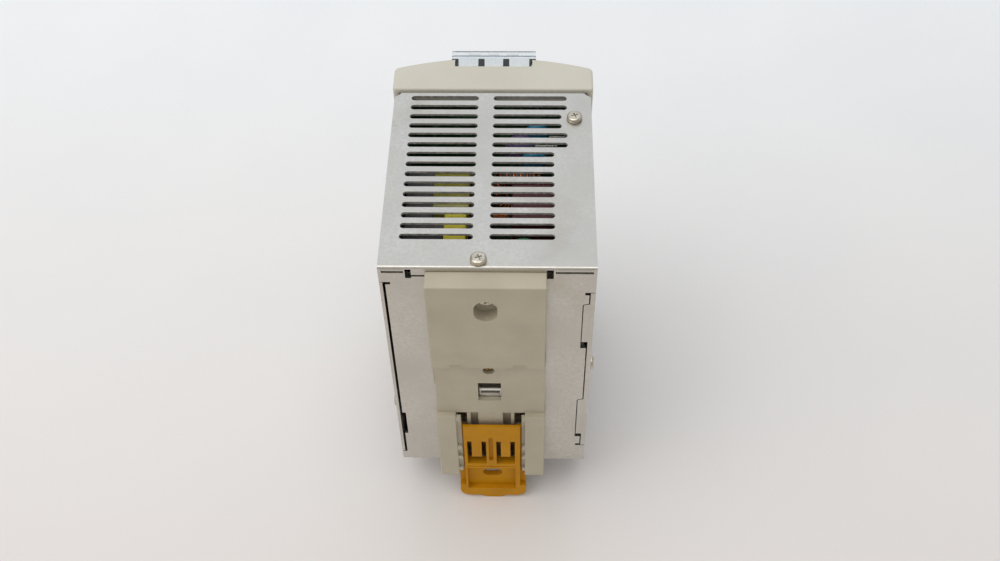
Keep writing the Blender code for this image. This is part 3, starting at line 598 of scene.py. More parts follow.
# Sintered ferrite is a dry, dark grey.
FERRITE = Finish("sintered_ferrite", "#262628", "#1B1B1E", (0.6, 0.8), 3.0, 0.4, 0.02, (("IOR", 2.3),))
# The winding's tape is a translucent yellow, painted as a dark olive: painted shade for its place deep inside
# the case.
TAPE_PAINTED_SHADE = TapedWinding("wound_yellow_polyester_tape", "#A8A23C", "#7F7A2A", (0.22, 0.34), 10.0, 1.5, 0.02,
                    (("IOR", 1.6), ("Coat Weight", 0.4)))
# The shrunk sleeve is a glossy black over a can whose bare end has a soft grain.
SLEEVE = Finish("shrunk_black_pvc_sleeve", "#23262B", "#2C3036", (0.22, 0.32), 12.0, 2.0, 0.02,
                (("IOR", 1.54),))
CAN_END = Finish("drawn_aluminium_can", "#C9CACB", "#B5B7B9", (0.25, 0.38), 3.0, 0.4, 0.004, METAL)
# Potted film cases have smooth glossy sides.
RED_BOX = Finish("potted_red_film_case", "#5C2426", "#4C1C1F", (0.25, 0.35), 9.0, 0.6, 0.01,
                 (("IOR", 1.5),))
YELLOW_BOX = Finish("potted_yellow_film_case", "#F0E64A", "#E4D83A", (0.25, 0.35), 9.0, 0.6, 0.01,
                    (("IOR", 1.5),))
# Dipped resin pools towards the leads, so its gloss wanders.
BLUE_DISC = Finish("dipped_blue_epoxy", "#2B8FB8", "#2379A0", (0.12, 0.25), 4.0, 1.2, 0.03, (("IOR", 1.5),))
VIOLET_DISC = Finish("dipped_violet_epoxy", "#6C6088", "#5A5076", (0.15, 0.3), 4.0, 1.2, 0.03,
                     (("IOR", 1.5),))
GREEN_DISC = Finish("dipped_green_epoxy", "#3F8F63", "#347A53", (0.15, 0.3), 4.0, 1.2, 0.03,
                    (("IOR", 1.5),))
# Enamel over copper keeps the metal's colour and adds a clear gloss.
COPPER = Finish("enamelled_copper_wire", "#C8703F", "#A8562C", (0.2, 0.32), 4.0, 0.8, 0.006,
                (("Metallic", 1.0), ("Coat Weight", 0.6), ("Coat Roughness", 0.08)))
# Extrusion leaves a matt silver skin.
ALUMINIUM = Finish("extruded_aluminium", "#BFC0C2", "#ABADAF", (0.32, 0.45), 10.0, 0.5, 0.006, METAL)
# Transfer moulded epoxy is a dull black.
PACKAGE = Finish("moulded_black_epoxy_package", "#222325", "#2B2C2E", (0.4, 0.55), 5.0, 0.4, 0.01,
                 (("IOR", 1.55),))
# Drawn glass is clear, with a faint cool edge.
FUSE_GLASS = Finish("drawn_fuse_glass", "#EFF3F2", "#E6ECEA", (0.02, 0.06), 6.0, 2.0, 0.002,
                    (("IOR", 1.5), ("Transmission Weight", 0.9)))
# Uncoated paper is matt and faintly mottled; painted shade makes it darker and warmer towards the near edge.
FLOOR_PAPER = PaperFloor("pale_paper_floor", "#F6FBFF", "#F3F8FD", (0.75, 0.9), 60.0, 1.2, 0.01,
                         (("IOR", 1.5),))


# ---------------------------------------------------------------- pieces

class Piece:
    """A visible piece of the unit: its object, and the steps that shape, dress and hang it."""

    def __init__(self, name: str, *solids: Solid) -> None:
        """Makes the object from solids, or starts with an empty mesh.

        Args:
            name: The object's name.
            solids: The solids, which are used up.
        """
        self.obj = bpy.data.objects.new(name, Solid.gather(solids))
        self.obj.data.name = name
        bpy.context.scene.collection.objects.link(self.obj)

    def _settle(self) -> None:
        """Applies the modifiers to the mesh."""
        graph = bpy.context.evaluated_depsgraph_get()
        mesh = bpy.data.meshes.new_from_object(self.obj.evaluated_get(graph))
        old = self.obj.data
        self.obj.modifiers.clear()
        self.obj.data = mesh
        bpy.data.meshes.remove(old)
        mesh.name = self.obj.name

    def _combine(self, operation: str, solids: Sequence[Solid]) -> "Piece":
        """Joins solids to the mesh or cuts them out of it.

        Args:
            operation: UNION or DIFFERENCE.
            solids: The solids, which are used up.

        Returns:
            The piece.
        """
        guide = Piece("guide", *solids)
        modifier = self.obj.modifiers.new(operation.lower(), "BOOLEAN")
        modifier.operation = operation
        modifier.solver = "EXACT"
        modifier.use_self = True
        modifier.object = guide.obj
        self._settle()
        bpy.data.meshes.remove(guide.obj.data)
        return self

    def cut(self, *solids: Solid) -> "Piece":
        """Takes solids out of the piece."""
        return self._combine("DIFFERENCE", solids)

    def join(self, *solids: Solid) -> "Piece":
        """Adds solids to the piece."""
        return self._combine("UNION", solids)

    def soften(self, width: float, segments: int = 2, angle: float = 32) -> "Piece":
        """Rounds the edges that are sharper than an angle.

        Args:
            width: Width of the rounding, in millimetres.
            segments: Facets across it.
            angle: The least angle that is rounded, in degrees.

        Returns:
            The piece.
        """
        bm = bmesh.new()
        bm.from_mesh(self.obj.data)
        bmesh.ops.remove_doubles(bm, verts=bm.verts, dist=0.002 * MM)
        bmesh.ops.dissolve_limit(bm, angle_limit=math.radians(0.4), verts=bm.verts, edges=bm.edges)
        bm.to_mesh(self.obj.data)
        bm.free()
        modifier = self.obj.modifiers.new("soften", "BEVEL")
        modifier.width = width * MM
        modifier.segments = segments
        modifier.limit_method = "ANGLE"
        modifier.angle_limit = math.radians(angle)
        modifier.miter_outer = "MITER_ARC"
        self._settle()
        return self

    def shade(self, angle: float = 35) -> "Piece":
        """Shades smoothly, except across edges sharper than an angle in degrees.

        Args:
            angle: The least angle of a sharp edge, in degrees.

        Returns:
            The piece.
        """
        self.obj.data.shade_smooth()
        self.obj.data.set_sharp_from_angle(angle=math.radians(angle))
        weighted = self.obj.modifiers.new("weighted", "WEIGHTED_NORMAL")
        weighted.keep_sharp = True
        return self

    def dress(self, finish: Finish) -> "Piece":
        """Gives the piece its only finish.

        Args:
            finish: The finish.

        Returns:
            The piece.
        """
        self.obj.data.materials.clear()
        self.obj.data.materials.append(finish.material())
        return self

    def dress_where(self, finish: Finish, chosen: Callable[[bpy.types.MeshPolygon], bool]) -> "Piece":
        """Gives some faces a second finish.

        Args:
            finish: The second finish.
            chosen: Says whether a face has it.

        Returns:
            The piece.
        """
        self.obj.data.materials.append(finish.material())
        for polygon in self.obj.data.polygons:
            if chosen(polygon):
                polygon.material_index = 1
        return self

    def hang(self, body: str, slot_name: str | None, *nodes: str) -> "Piece":
        """Lets the piece ride a body in place of CAD nodes.

        Args:
            body: The body that it moves with.
            slot_name: The record's material slot, or None; not used.
            nodes: The CAD nodes that it stands for.

        Returns:
            The piece.
        """
        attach(self.obj, body)
        if nodes:
            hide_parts(*nodes)
        return self


def extent(node: str) -> list[Span]:
    """The limits of a CAD node on the three axes, in millimetres."""
    low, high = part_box(node)
    return [(low[i] / MM, high[i] / MM) for i in range(3)]


def middle(span: Span) -> float:
    """The middle of a span."""
    return (span[0] + span[1]) / 2


class Assembly:
    """A sub-assembly: subclasses hold its sizes, build its meshes and dress them."""

    def build(self) -> list[Piece]:
        """Makes the pieces."""
        raise NotImplementedError

    def report(self) -> None:
        """Builds the pieces and logs each one."""
        for piece in self.build():
            log.info("%s: %s, %d faces", type(self).__name__, piece.obj.name, len(piece.obj.data.polygons))


# ---------------------------------------------------------------- case

@dataclass
class CaseSheet(Assembly):
    """Top, rear and bottom of the case, folded from one plated sheet."""

    half: float = 37.5
    sheet: float = 1.0
    bend: float = 1.05
    front: float = -91.8
    vent_pitch: float = 5.0
    vent_first: float = -88.9
    vent_width: float = 2.5
    vent_left: Span = (5.2, 31.0)
    vent_start: float = -0.4
    vent_ends: tuple[float, ...] = (-28.3, -28.3, -26.2, -26.2, -28.3, -28.3) + (-23.3,) * 9
    reliefs: tuple[Span, ...] = ((26.1, 28.2), (-22.7, -20.3))
    relief_z: Span = (58.4, 63.0)
    slit: tuple[Span, Span] = ((20.5, 26.3), (59.3, 60.1))
    beads: tuple[Span, ...] = ((28.7, 36.3), (-36.3, -23.4))
    bead_z: Span = (61.05, 63.5)
    strip_edge: float = -35.3
    tab_edge: float = -33.2
    tabs: tuple[Triple, ...] = ((18.3, 22.0, 44.8), (-42.4, -40.4, -15.0))
    slope: float = 0.8
    seam_ends: Span = (-49.2, 50.9)
    corner: float = 3.6
    lower_corner: float = 2.2
    left_seam: tuple[tuple[Span, Span], ...] = (
        ((35.4, 38.5), (-55.0, 56.2)), ((34.1, 36.4), (-41.0, -26.0)), ((33.6, 36.4), (54.9, 56.2)))
    seam_notches: tuple[tuple[Span, Span], ...] = (
        ((-35.5, -33.8), (49.5, 50.9)), ((-37.1, -33.6), (-49.2, -47.9)))
    screw_holes: tuple[tuple[Point, float], ...] = (((0.7, 51.0), 2.0), ((0.5, 10.2), 1.4))
    foot_notch: Span = (21.5, 26.5)
    tab_hole: tuple[Span, Span] = ((-4.2, 4.6), (-11.6, 2.4))
    tab_x: Span = (-3.9, 4.3)
    tab_z: Span = (-12.5, -5.3)
    tab_slot: tuple[Span, Span] = ((-3.5, 3.9), (-7.9, -5.7))
    tab_face: float = -2.1
    roll: float = 0.62

    def __post_init__(self) -> None:
        """Takes the sheet's place from the frame."""
        _, _, height = extent("case_sheet")
        self.bottom, self.top = height
        self.rear = extent("side_cover_right")[1][1]

    def outline(self) -> list[Point]:
        """Side view of the folded sheet.

        Returns:
            The outline, in Y and Z.
        """
        y = self.rear - self.bend
        top = self.top - self.bend
        bottom = self.bottom + self.bend
        inner = self.bend - self.sheet
        return ([(self.front, self.top)] + arc(y, top, self.bend, 90, 0, 10)
                + arc(y, bottom, self.bend, 0, -90, 10) + [(self.front, self.bottom)]
                + [(self.front, self.bottom + self.sheet)] + arc(y, bottom, inner, -90, 0, 5)
                + arc(y, top, inner, 0, 90, 5) + [(self.front, self.top - self.sheet)])

    def vents(self, level: float, ends: Sequence[float]) -> list[Solid]:
        """Makes the cutters for two columns of vent slots.

        Args:
            level: Height of the sheet that they go through.
            ends: Where each slot of the right column ends.

        Returns:
            The cutters.
        """
        cutters = []
        for row, end in enumerate(ends):
            y = self.vent_first + row * self.vent_pitch
            for span in (self.vent_left, (self.vent_start, end)):
                cutters.append(Solid.prism(slot(span, y, self.vent_width), Axis.Z, level - 3, level + 3))
        return cutters

    def seam(self) -> list[Point]:
        """What the stepped seam takes off the rear, in X and Z.

        Returns:
            The outline, in X and Z.
        """
        out = -self.half - 1
        low_end, high_end = self.seam_ends
        outline = [(out, low_end), (self.strip_edge, low_end)]
        for foot, _, high in reversed(self.tabs):
            outline += [(self.strip_edge, foot), (self.tab_edge, foot), (self.tab_edge, high - self.slope),
                        (self.strip_edge, high)]
        return outline + [(self.strip_edge, high_end), (out, high_end)]

    def corners(self) -> list[Solid]:
        """What bevels the front corners and rounds the lower rear ones.

        Returns:
            The cutters.
        """
        made = []
        r = self.lower_corner
        for side in (-1, 1):
            out = side * (self.half + 1)
            wedge = [(out, self.front - 1), (side * (self.half - self.corner), self.front - 1),
                     (out, self.front + self.corner)]
            made.append(Solid.prism(wedge, Axis.Z, self.bottom - 1, self.top + 1))
            edge = [(side * x, z) for x, z in arc(self.half - r, self.bottom + r, r, 270, 360, 8)]
            edge += [(out, self.bottom + r), (out, self.bottom - 1),
                     (side * (self.half - r), self.bottom - 1)]
            made.append(Solid.prism(edge, Axis.Y, self.rear - 2, self.rear + 1))
        return made

    def rear_openings(self) -> list[Solid]:
        """Reliefs, slits, seams, the hook tab's hole and the bracket's screw holes.

        Returns:
            The cutters.
        """
        through = (self.rear - 3, self.rear + 1)
        made = [Solid.box(relief, through, self.relief_z) for relief in self.reliefs]
        made += [Solid.box(bead, (self.rear - 1.3, self.rear + 1), self.bead_z) for bead in self.beads]
        made.append(Solid.box(self.slit[0], through, self.slit[1]))
        made.append(Solid.prism(self.seam(), Axis.Y, *through))
        made += [Solid.box(x, through, z) for x, z in (*self.left_seam, self.tab_hole)]
        made += [Solid.rod(Axis.Y, centre, radius, *through) for centre, radius in self.screw_holes]
        made += [Solid.box(x, through, z) for x, z in self.seam_notches]
        made.append(Solid.box(self.foot_notch, (self.rear - self.bend - 0.4, self.rear + 1),
                              (self.bottom - 1, self.bottom + 0.8)))
        return made

    def sheared(self, polygon: bpy.types.MeshPolygon) -> bool:
        """True for the walls of the vent slots.

        Args:
            polygon: A face of the sheet.

        Returns:
            Whether the punch sheared it.
        """
        x, y, z = polygon.center / MM
        level = z > self.top - self.sheet - 0.1 or z < self.bottom + self.sheet + 0.1
        inside = abs(x) < self.half - 1 and self.front + 1 < y < self.rear - self.bend - 0.3
        return level and inside and abs(polygon.normal.z) < 0.4

    def hook_tab(self) -> Piece:
        """The tab that is bent up from the rear sheet, with a rolled end over a slot.

        Returns:
            The tab.
        """
        face = self.tab_face
        foot, neck = self.tab_z
        root = self.rear - 0.9
        hook = ([(root, foot), (face, foot), (face, neck)]
                + arc(face - 0.1, neck + 0.35, self.roll, -30, 250, 18)
                + [(face - 0.9, neck - 0.2), (face - 0.9, foot + 0.9), (root, foot + 0.9)])
        tab = Piece("rear_hook_tab", Solid.prism(hook, Axis.X, *self.tab_x))
        tab.cut(Solid.box(self.tab_slot[0], (self.rear + 1, 0), self.tab_slot[1]))
        # The tab's finish carries a painted highlight: it is lighter than the sheet.
        return tab.soften(0.14, 2).shade().dress(TAB_ZINC_PAINTED_HIGHLIGHT).hang("housing", "zinc_sheet")

    def build(self) -> list[Piece]:
        """Folds the sheet, punches it and joins the two beads of the upper fold.

        Returns:
            The pieces.
        """
        piece = Piece("case_shell", Solid.prism(self.outline(), Axis.X, -self.half, self.half))
        cutters = self.vents(self.top, self.vent_ends) + self.vents(self.bottom, (-28.3,) * 15)
        for node in ("top_screw_rear", "top_screw_front"):
            x, y, _ = extent(node)
            cutters.append(Solid.rod(Axis.Z, (middle(x), middle(y)), 1.8, self.top - 3, self.top + 1))
        piece.cut(*cutters, *self.rear_openings())
        for cutter in self.corners():
            piece.cut(cutter)
        piece.join(*[Solid.rod(Axis.X, (self.rear - 0.95, middle(self.bead_z)), 0.88, low - 0.3, high + 0.3)
                     for low, high in self.beads])
        piece.soften(0.2, 2).shade().dress(ZINC_SHEET).dress_where(SHEARED_EDGE, self.sheared)
        piece.hang("housing", "zinc_sheet", "case_sheet")
        return [piece, self.hook_tab()]


@dataclass
class SideCover(Assembly):
    """A side sheet; the right one has two tabs bent over the rear."""

    hand: int
    sheet: float = 1.2
    screw: Point = (-14.0, -30.0)
    reach: Span = (-54.7, 55.9)
    tabs: tuple[Triple, ...] = ()
    slope: float = 0.8
    strip: float = -35.75
    tab_edge: float = -33.55
    dimple: Span = (3.9, 4.3)

    def build(self) -> list[Piece]:
        """Cuts the sheet, joins its tabs and drills its screw hole.

        Returns:
            The pieces.
        """
        side = "left" if self.hand > 0 else "right"
        node = f"side_cover_{side}"
        _, (front, rear), (low, high) = extent(node)
        outer = CaseSheet.half * self.hand
        inner = outer - self.sheet * self.hand
        inset = rear - 1.0 - GAP
        outline = [(front, low), (inset, low), (inset, self.reach[0]), (rear, self.reach[0]),
                   (rear, self.reach[1]), (inset, self.reach[1]), (inset, high), (front, high)]
        name = node.replace("side_cover", "side_sheet")
        piece = Piece(name, Solid.prism(outline, Axis.X, *sorted((inner, outer))))
        root = inner + 0.2 * self.hand
        if self.tabs:
            piece.join(Solid.box(sorted((root, self.strip)), (rear - 1.0, rear), self.reach))
        for _, bottom, tip in self.tabs:
            top = tip - GAP
            tab = [(root, bottom), (self.tab_edge, bottom), (self.tab_edge, top - self.slope), (root, top)]
            piece.join(Solid.prism(tab, Axis.Y, rear - 0.9, rear - 0.05))
        ends = sorted((inner - self.hand, outer + self.hand))
        piece.cut(Solid.rod(Axis.X, self.screw, 1.9, *ends))
        start, stop = sorted((outer - 0.25 * self.hand, outer + self.hand))
        first, last = self.dimple[::self.hand]
        piece.cut(Solid.turned([(0, start), (first, start), (last, stop), (0, stop)], Axis.X, self.screw))
        piece.soften(0.3, 3).shade().dress(ZINC_SHEET).hang("housing", "zinc_sheet", node)
        return [piece]


@dataclass
class Fastener(Assembly):
    """A pan head screw in the place of a CAD screw."""

    node: str
    axis: Axis
    out: int
    height: float
    head: float
    shaft: float
    finish: Finish
    slot_name: str
    recess: Recess = Recess.CROSS
    plate: float = 0.0
    turn: float = 0.35

    def build(self) -> list[Piece]:
        """Turns the head and shaft, cuts the recess and adds a square plate if there is one.

        Returns:
            The pieces.
        """
        spans = extent(self.node)
        low, high = spans[self.axis.value]
        a, b = [middle(span) for i, span in enumerate(spans) if i != self.axis.value]
        tip = high if self.out > 0 else low
        foot = low if self.out > 0 else high
        seat = tip - self.out * self.height
        rise = self.out * self.height
        head = self.head
        edge = [(head * (0.72 + 0.28 * math.cos(t)), seat + rise * (0.45 + 0.47 * math.sin(t)))
                for t in (math.pi / 2 * i / 5 for i in range(6))]
        crown = [(head * 0.4, seat + rise * 0.985), (0, tip)]
        profile = [(0, foot), (self.shaft * 0.8, foot), (self.shaft, foot + self.out * 0.5),
                   (self.shaft, seat), (head * 0.96, seat), (head, seat + rise * 0.08)] + edge + crown
        piece = Piece(f"{self.node}_pan_head", Solid.turned(profile, self.axis, (a, b), 36))
        cutters = []
        for turn in (self.turn, self.turn + math.pi / 2):
            cutters.append(self.blade(a, b, turn, seat + rise * 0.38, head * 0.5, head * 0.11))
        if self.recess is Recess.CROSS_AND_SLOT:
            cutters.append(self.blade(a, b, self.turn, seat + rise * 0.55, head * 1.1, head * 0.12))
        for cutter in cutters:
            piece.cut(cutter)
        if self.plate:
            square = rounded((a - self.plate, a + self.plate), (b - self.plate, b + self.plate), 0.7)
            faces = sorted((seat - self.out * 0.9, seat + self.out * 0.05))
            piece.join(Solid.prism(square, self.axis, *faces))
        piece.soften(0.09, 2, 40).shade(40).dress(self.finish)
        piece.hang("housing", self.slot_name, self.node)
        return [piece]

    def blade(self, a: float, b: float, turn: float, floor: float, reach: float, half: float) -> Solid:
        """One arm of the recess, narrower at its floor.

        Args:
            a: Centre on the first cross axis.
            b: Centre on the second cross axis.
            turn: How far the arm is turned, in radians.
            floor: Level of its floor.
            reach: Half its length.
            half: Half its width.

        Returns:
            The cutter.
        """
        loops = []
        for level, grow in ((floor, 0.55), (floor + self.out * self.height, 1.15)):
            points = [(reach * grow, half * grow), (-reach * grow, half * grow),
                      (-reach * grow, -half * grow), (reach * grow, -half * grow)]
            spots = [(a + u * math.cos(turn) - v * math.sin(turn),
                      b + u * math.sin(turn) + v * math.cos(turn)) for u, v in points]
            loops.append([self.axis.point(level, p, q) for p, q in spots])
        return Solid.loft(loops)


# ---------------------------------------------------------------- front

@dataclass
class TerminalBay(Assembly):
    """A barrier terminal block with its clear cover, at one end of the bezel."""

    group: str
    end: End
    poles: int
    pitch: float = 9.7
    barrier: float = 2.4
    floor: float = -106.6
    wall: float = 0.9
    screw_depth: float = 11.0
    hinge_drop: float = 22.0
    hinge_y: float = -112.8
    cover: Span = (-113.3, -112.3)
    grips: tuple[float, ...] = (-7.5, 0.0, 7.5)

    def __post_init__(self) -> None:
        """Takes the bezel's end from the frame."""
        low, high = extent("front_bezel")[2]
        self.edge = high if self.end is End.UPPER else low
        self.half = self.poles * self.pitch / 2 + 0.55

    def level(self, depth: float) -> float:
        """Height of a point at a depth from the bezel's end."""
        return self.edge - self.end.value * depth

    def span(self, near: float, far: float) -> Span:
        """The two heights at two depths, lowest first."""
        low, high = sorted((self.level(near), self.level(far)))
        return low, high

    def seats(self) -> list[float]:
        """Where each terminal stands across the unit."""
        return [(i - (self.poles - 1) / 2) * self.pitch for i in range(self.poles)]

    def block(self) -> Piece:
        """The black moulding with a barrier beside each terminal.

        Returns:
            The block.
        """
        node = f"{self.group}_terminal_block"
        half = self.half - GAP
        _, (front, back), _ = extent(node)
        face = self.floor
        piece = Piece(f"{self.group}_barrier_block",
                      Solid.box((-half, half), (face, back), self.span(2.6, 20.0)))
        reach = (front, face + 0.3)
        walls = [(-half, -half + self.wall), (half - self.wall, half)]
        first = -(self.poles / 2 - 1) * self.pitch
        walls += [(first + i * self.pitch - self.barrier / 2, first + i * self.pitch + self.barrier / 2)
                  for i in range(self.poles - 1)]
        feet = [sorted((hand * (half - self.wall), hand * (half + 1.7))) for hand in (-1, 1)]
        piece.join(*[Solid.box(wall, reach, self.span(0.6, 19.2)) for wall in walls],
                   *[Solid.box(foot, (front, front + 0.9), self.span(0.6, 3.0)) for foot in feet],
                   Solid.box((-half, half), (front + 1, face + 0.3), self.span(17.6, 19.4)))
        piece.cut(*[Solid.rod(Axis.Y, (x, self.level(self.screw_depth)), 2.0, face - 1, face + 5)
                    for x in self.seats()])
        piece.soften(0.25, 3).shade().dress(BLACK_BLOCK)
        return piece.hang("housing", "black_plastic", node)

    def flap(self) -> Piece:
        """The clear cover with its grip lip and hinge barrel.

        Returns:
            The cover.
        """
        node = f"{self.group}_terminal_cover"
        _, (lip, _), _ = extent(node)
        half = self.half
        front, back = self.cover
        hinge = self.level(self.hinge_drop)
        panel = rounded((-half - 1.4, half + 1.4), self.span(0.4, self.hinge_drop - 2.6), 0.8)
        piece = Piece(f"{self.group}_clear_flap", Solid.prism(panel, Axis.Y, front, back))
        piece.join(Solid.box((-half + 0.4, half - 0.4), self.cover,
                             self.span(self.hinge_drop - 3.0, self.hinge_drop)),
                   Solid.box((-half - 1.4, half + 1.4), (lip, front + 0.4), self.span(0.4, 1.4)),
                   Solid.rod(Axis.X, (self.hinge_y, hinge), 1.3, -half + 0.4, half - 0.4),
                   Solid.rod(Axis.X, (self.hinge_y, hinge), 0.8, -half - 1.5, half + 1.5))
        piece.cut(*[Solid.box((x - 2.2, x + 2.2), (lip + 0.5, front), self.span(-1, 0.75))
                    for x in self.grips])
        piece.soften(0.16, 2).shade().dress(CLEAR_COVER)
        return piece.hang(f"{self.group}_cover", "clear_plastic", node)

    def build(self) -> list[Piece]:
        """Makes the block, its clamp screws and the cover.

        Returns:
            The pieces.
        """
        made = [self.block(), self.flap()]
        for i in range(self.poles):
            node = f"{self.group}_terminal_screw_{i + 1}"
            made += Fastener(node, Axis.Y, -1, 2.0, 3.0, 1.6, TERMINAL_METAL, "terminal_metal",
                             Recess.CROSS_AND_SLOT, 3.3).build()
        return made


@dataclass
class FrontBezel(Assembly):
    """The moulded front: a convex shell with a bay at each end, lamp windows and a trimmer hole."""

    bays: tuple[TerminalBay, ...]
    radius: float = 120.0
    wall: float = 2.2
    bay_rear: float = -106.0
    bay_height: float = 24.0
    rear: float = -93.1
    apex: float = -111.4
    curl: float = 2.4
    rim: float = 34.4
    round_holes: tuple[tuple[Point, float], ...] = (
        ((22.0, 8.0), 1.85), ((22.0, 0.0), 1.85), ((22.0, -12.0), 2.9))
    label_z: Span = (-10.0, 20.0)
    label_depth: float = 0.35
    grooves: tuple[float, ...] = (30.0, 33.0, 36.0, -21.0, -24.0, -27.0)
    groove_depth: float = 0.7
    groove_width: float = 0.9

    def __post_init__(self) -> None:
        """Takes the bezel's box from the frame."""
        (_, self.half), _, (self.bottom, self.top) = extent("front_bezel")

    def outline(self, inset: float, rear: float, steps: int = 56) -> list[Point]:
        """Draws the bezel's plan: a convex front between rounded corners.

        Args:
            inset: How far the outline lies inside the outer face.
            rear: Where it ends on Y.
            steps: Number of chords across the front.

        Returns:
            The outline, in X and Y.
        """
        radius = self.radius - inset
        centre = self.apex + self.radius
        half = self.half - inset
        curl = self.curl
        reach = math.asin((half - curl) / (radius - curl))
        cy = centre - (radius - curl) * math.cos(reach)
        spread = math.degrees(reach)
        return ([(half, rear)] + arc(half - curl, cy, curl, 0, spread - 90, 8)[:-1]
                + arc(0, centre, radius, 270 + spread, 270 - spread, steps)
                + arc(-half + curl, cy, curl, 270 - spread, 180, 8)[1:] + [(-half, rear)])

    def shell(self) -> Piece:
        """The hollow outer shape with its edges rounded and its rim.

        Returns:
            The shell, not yet opened or dressed.
        """
        piece = Piece("bezel_moulding",
                      Solid.prism(self.outline(0, self.rear), Axis.Z, self.bottom, self.top))
        piece.soften(0.9, 4, 60)
        piece.cut(Solid.prism(self.outline(self.wall, self.rear + 1), Axis.Z,
                              self.bottom + self.wall, self.top - self.wall))
        rim_z = (self.bottom + 2.6, self.top - 2.6)
        root = self.rear - 1.5
        wide = self.rim + 0.2
        piece.join(Solid.box((-self.rim, self.rim), (root, self.rear + 2.7), rim_z),
                   Solid.box((-wide, wide), (root, self.rear), (self.bottom + 1.7, self.top - 1.7)))
        hollow = self.rim - 1.4
        piece.cut(Solid.box((-hollow, hollow), (root - 1.5, self.rear + 4.0),
                            (self.bottom + 4.1, self.top - 4.1)))
        return piece

    def cutters(self) -> list[Solid]:
        """The bays, windows, grooves and the shallow label field.

        Returns:
            The cutters.
        """
        front = self.apex - 2
        made = [Solid.box((-bay.half, bay.half), (front, self.bay_rear), bay.span(-2, self.bay_height))
                for bay in self.bays]
        made += [Solid.rod(Axis.Y, centre, radius, front, self.bay_rear + 4)
                 for centre, radius in self.round_holes]
        made.append(Solid.prism(self.skin(self.label_depth, 263.8, 275.4, 20), Axis.Z, *self.label_z))
        half = self.groove_width / 2
        for z in self.grooves:
            made.append(Solid.prism(self.skin(self.groove_depth, 256, 284, 32), Axis.Z, z - half, z + half))
        return made

    def skin(self, depth: float, start: float, end: float, steps: int) -> list[Point]:
        """Draws what a shallow cut takes off the convex face.

        Args:
            depth: How deep the cut is.
            start: Angle at its first end, in degrees.
            end: Angle at its last end, in degrees.
            steps: Number of chords.

        Returns:
            The outline, in X and Y.
        """
        centre = self.apex + self.radius
        return (arc(0, centre, self.radius - depth, start, end, steps)
                + arc(0, centre, self.radius + 3, end, start, steps))

    def ears(self) -> tuple[list[Solid], list[Solid]]:
        """The hinge ears beside the bays, and the bores through them.

        Returns:
            The ears and the bores.
        """
        ears, bores = [], []
        for bay in self.bays:
            hinge = bay.level(bay.hinge_drop)
            for hand in (-1, 1):
                low, high = sorted((hand * (bay.half + 0.1), hand * (bay.half + 1.9)))
                plate = (arc(bay.hinge_y, hinge, 1.95, 90, 270, 14)
                         + [(self.bay_rear - 2.5, hinge - 1.95), (self.bay_rear - 2.5, hinge + 1.95)])
                ears.append(Solid.prism(plate, Axis.X, low, high))
            bores.append(Solid.rod(Axis.X, (bay.hinge_y, hinge), 1.1, -bay.half - 3, bay.half + 3))
        return ears, bores

    def build(self) -> list[Piece]:
        """Makes the moulding.

        Returns:
            The pieces.
        """
        piece = self.shell()
        piece.cut(*self.cutters())
        ears, bores = self.ears()
        piece.join(*ears)
        piece.cut(*bores)
        piece.soften(0.25, 2, 50).shade().dress(BEIGE_ABS)
        piece.hang("housing", "bezel_plastic", "front_bezel")
        return [piece]


@dataclass
class Indicators(Assembly):
    """The two lamps, and the voltage trimmer's body and rotor."""

    lamp_radius: float = 1.5
    collar: float = 1.8
    rotor: Span = (1.0, 2.3)

    def lamp(self, node: str, finish: Finish, slot_name: str) -> Piece:
        """Turns a lamp with a domed end.

        Args:
            node: The lamp's CAD node.
            finish: The lens's finish.
            slot_name: The record's material slot.

        Returns:
            The lamp.
        """
        x, (tip, foot), z = extent(node)
        dome = [(self.lamp_radius * math.cos(t), tip + 1.5 - 1.5 * math.sin(t))
                for t in (math.pi / 2 * i / 8 for i in range(8))]
        profile = [(0, foot), (self.collar, foot), (self.collar, foot - 1.0), (self.lamp_radius, foot - 1.0)]
        centre = (middle(x), middle(z))
        piece = Piece(f"{node}_lens", Solid.turned(profile + dome + [(0, tip)], Axis.Y, centre))
        return piece.shade(40).dress(finish).hang("housing", slot_name, node)

    def trimmer(self) -> list[Piece]:
        """The trimmer's square body and its slotted rotor.

        Returns:
            The body and the rotor.
        """
        x, (face, foot), z = extent("trimmer_body")
        body = Piece("trimmer_case", Solid.box(x, (face, foot), z))
        centre = cx, cz = (middle(x), middle(z))
        body.cut(Solid.rod(Axis.Y, centre, 1.3, face - 1, face + 2.6))
        body.soften(0.3, 3).shade().dress(TRIMMER_BODY).hang("housing", "trimmer_plastic", "trimmer_body")
        _, (tip, end), _ = extent("trimmer_rotor")
        shaft, knob = self.rotor
        profile = [(0, end), (shaft, end), (shaft, face - GAP), (knob, face - GAP), (knob, tip + 0.25),
                   (knob - 0.25, tip), (0, tip)]
        rotor = Piece("trimmer_knob", Solid.turned(profile, Axis.Y, centre))
        rotor.cut(Solid.box((cx - 0.4, cx + 0.4), (tip - 1, tip + 0.8), (cz - 1.8, cz + 1.8)))
        rotor.cut(Solid.prism([(cx - 0.5, cz + 1.9), (cx + 0.5, cz + 1.9), (cx, cz + 2.6)],
                              Axis.Y, tip - 1, tip + 0.5))
        rotor.soften(0.1, 2).shade().dress(TRIMMER_ROTOR)
        rotor.hang("trimmer", "trimmer_rotor_plastic", "trimmer_rotor")
        return [body, rotor]

    def build(self) -> list[Piece]:
        """Makes the lamps and the trimmer.

        Returns:
            The pieces.
        """
        return [self.lamp("power_lamp", GREEN_LENS, "green_lens"),
                self.lamp("alarm_lamp", RED_LENS, "red_lens")] + self.trimmer()


# ---------------------------------------------------------------- rail clip

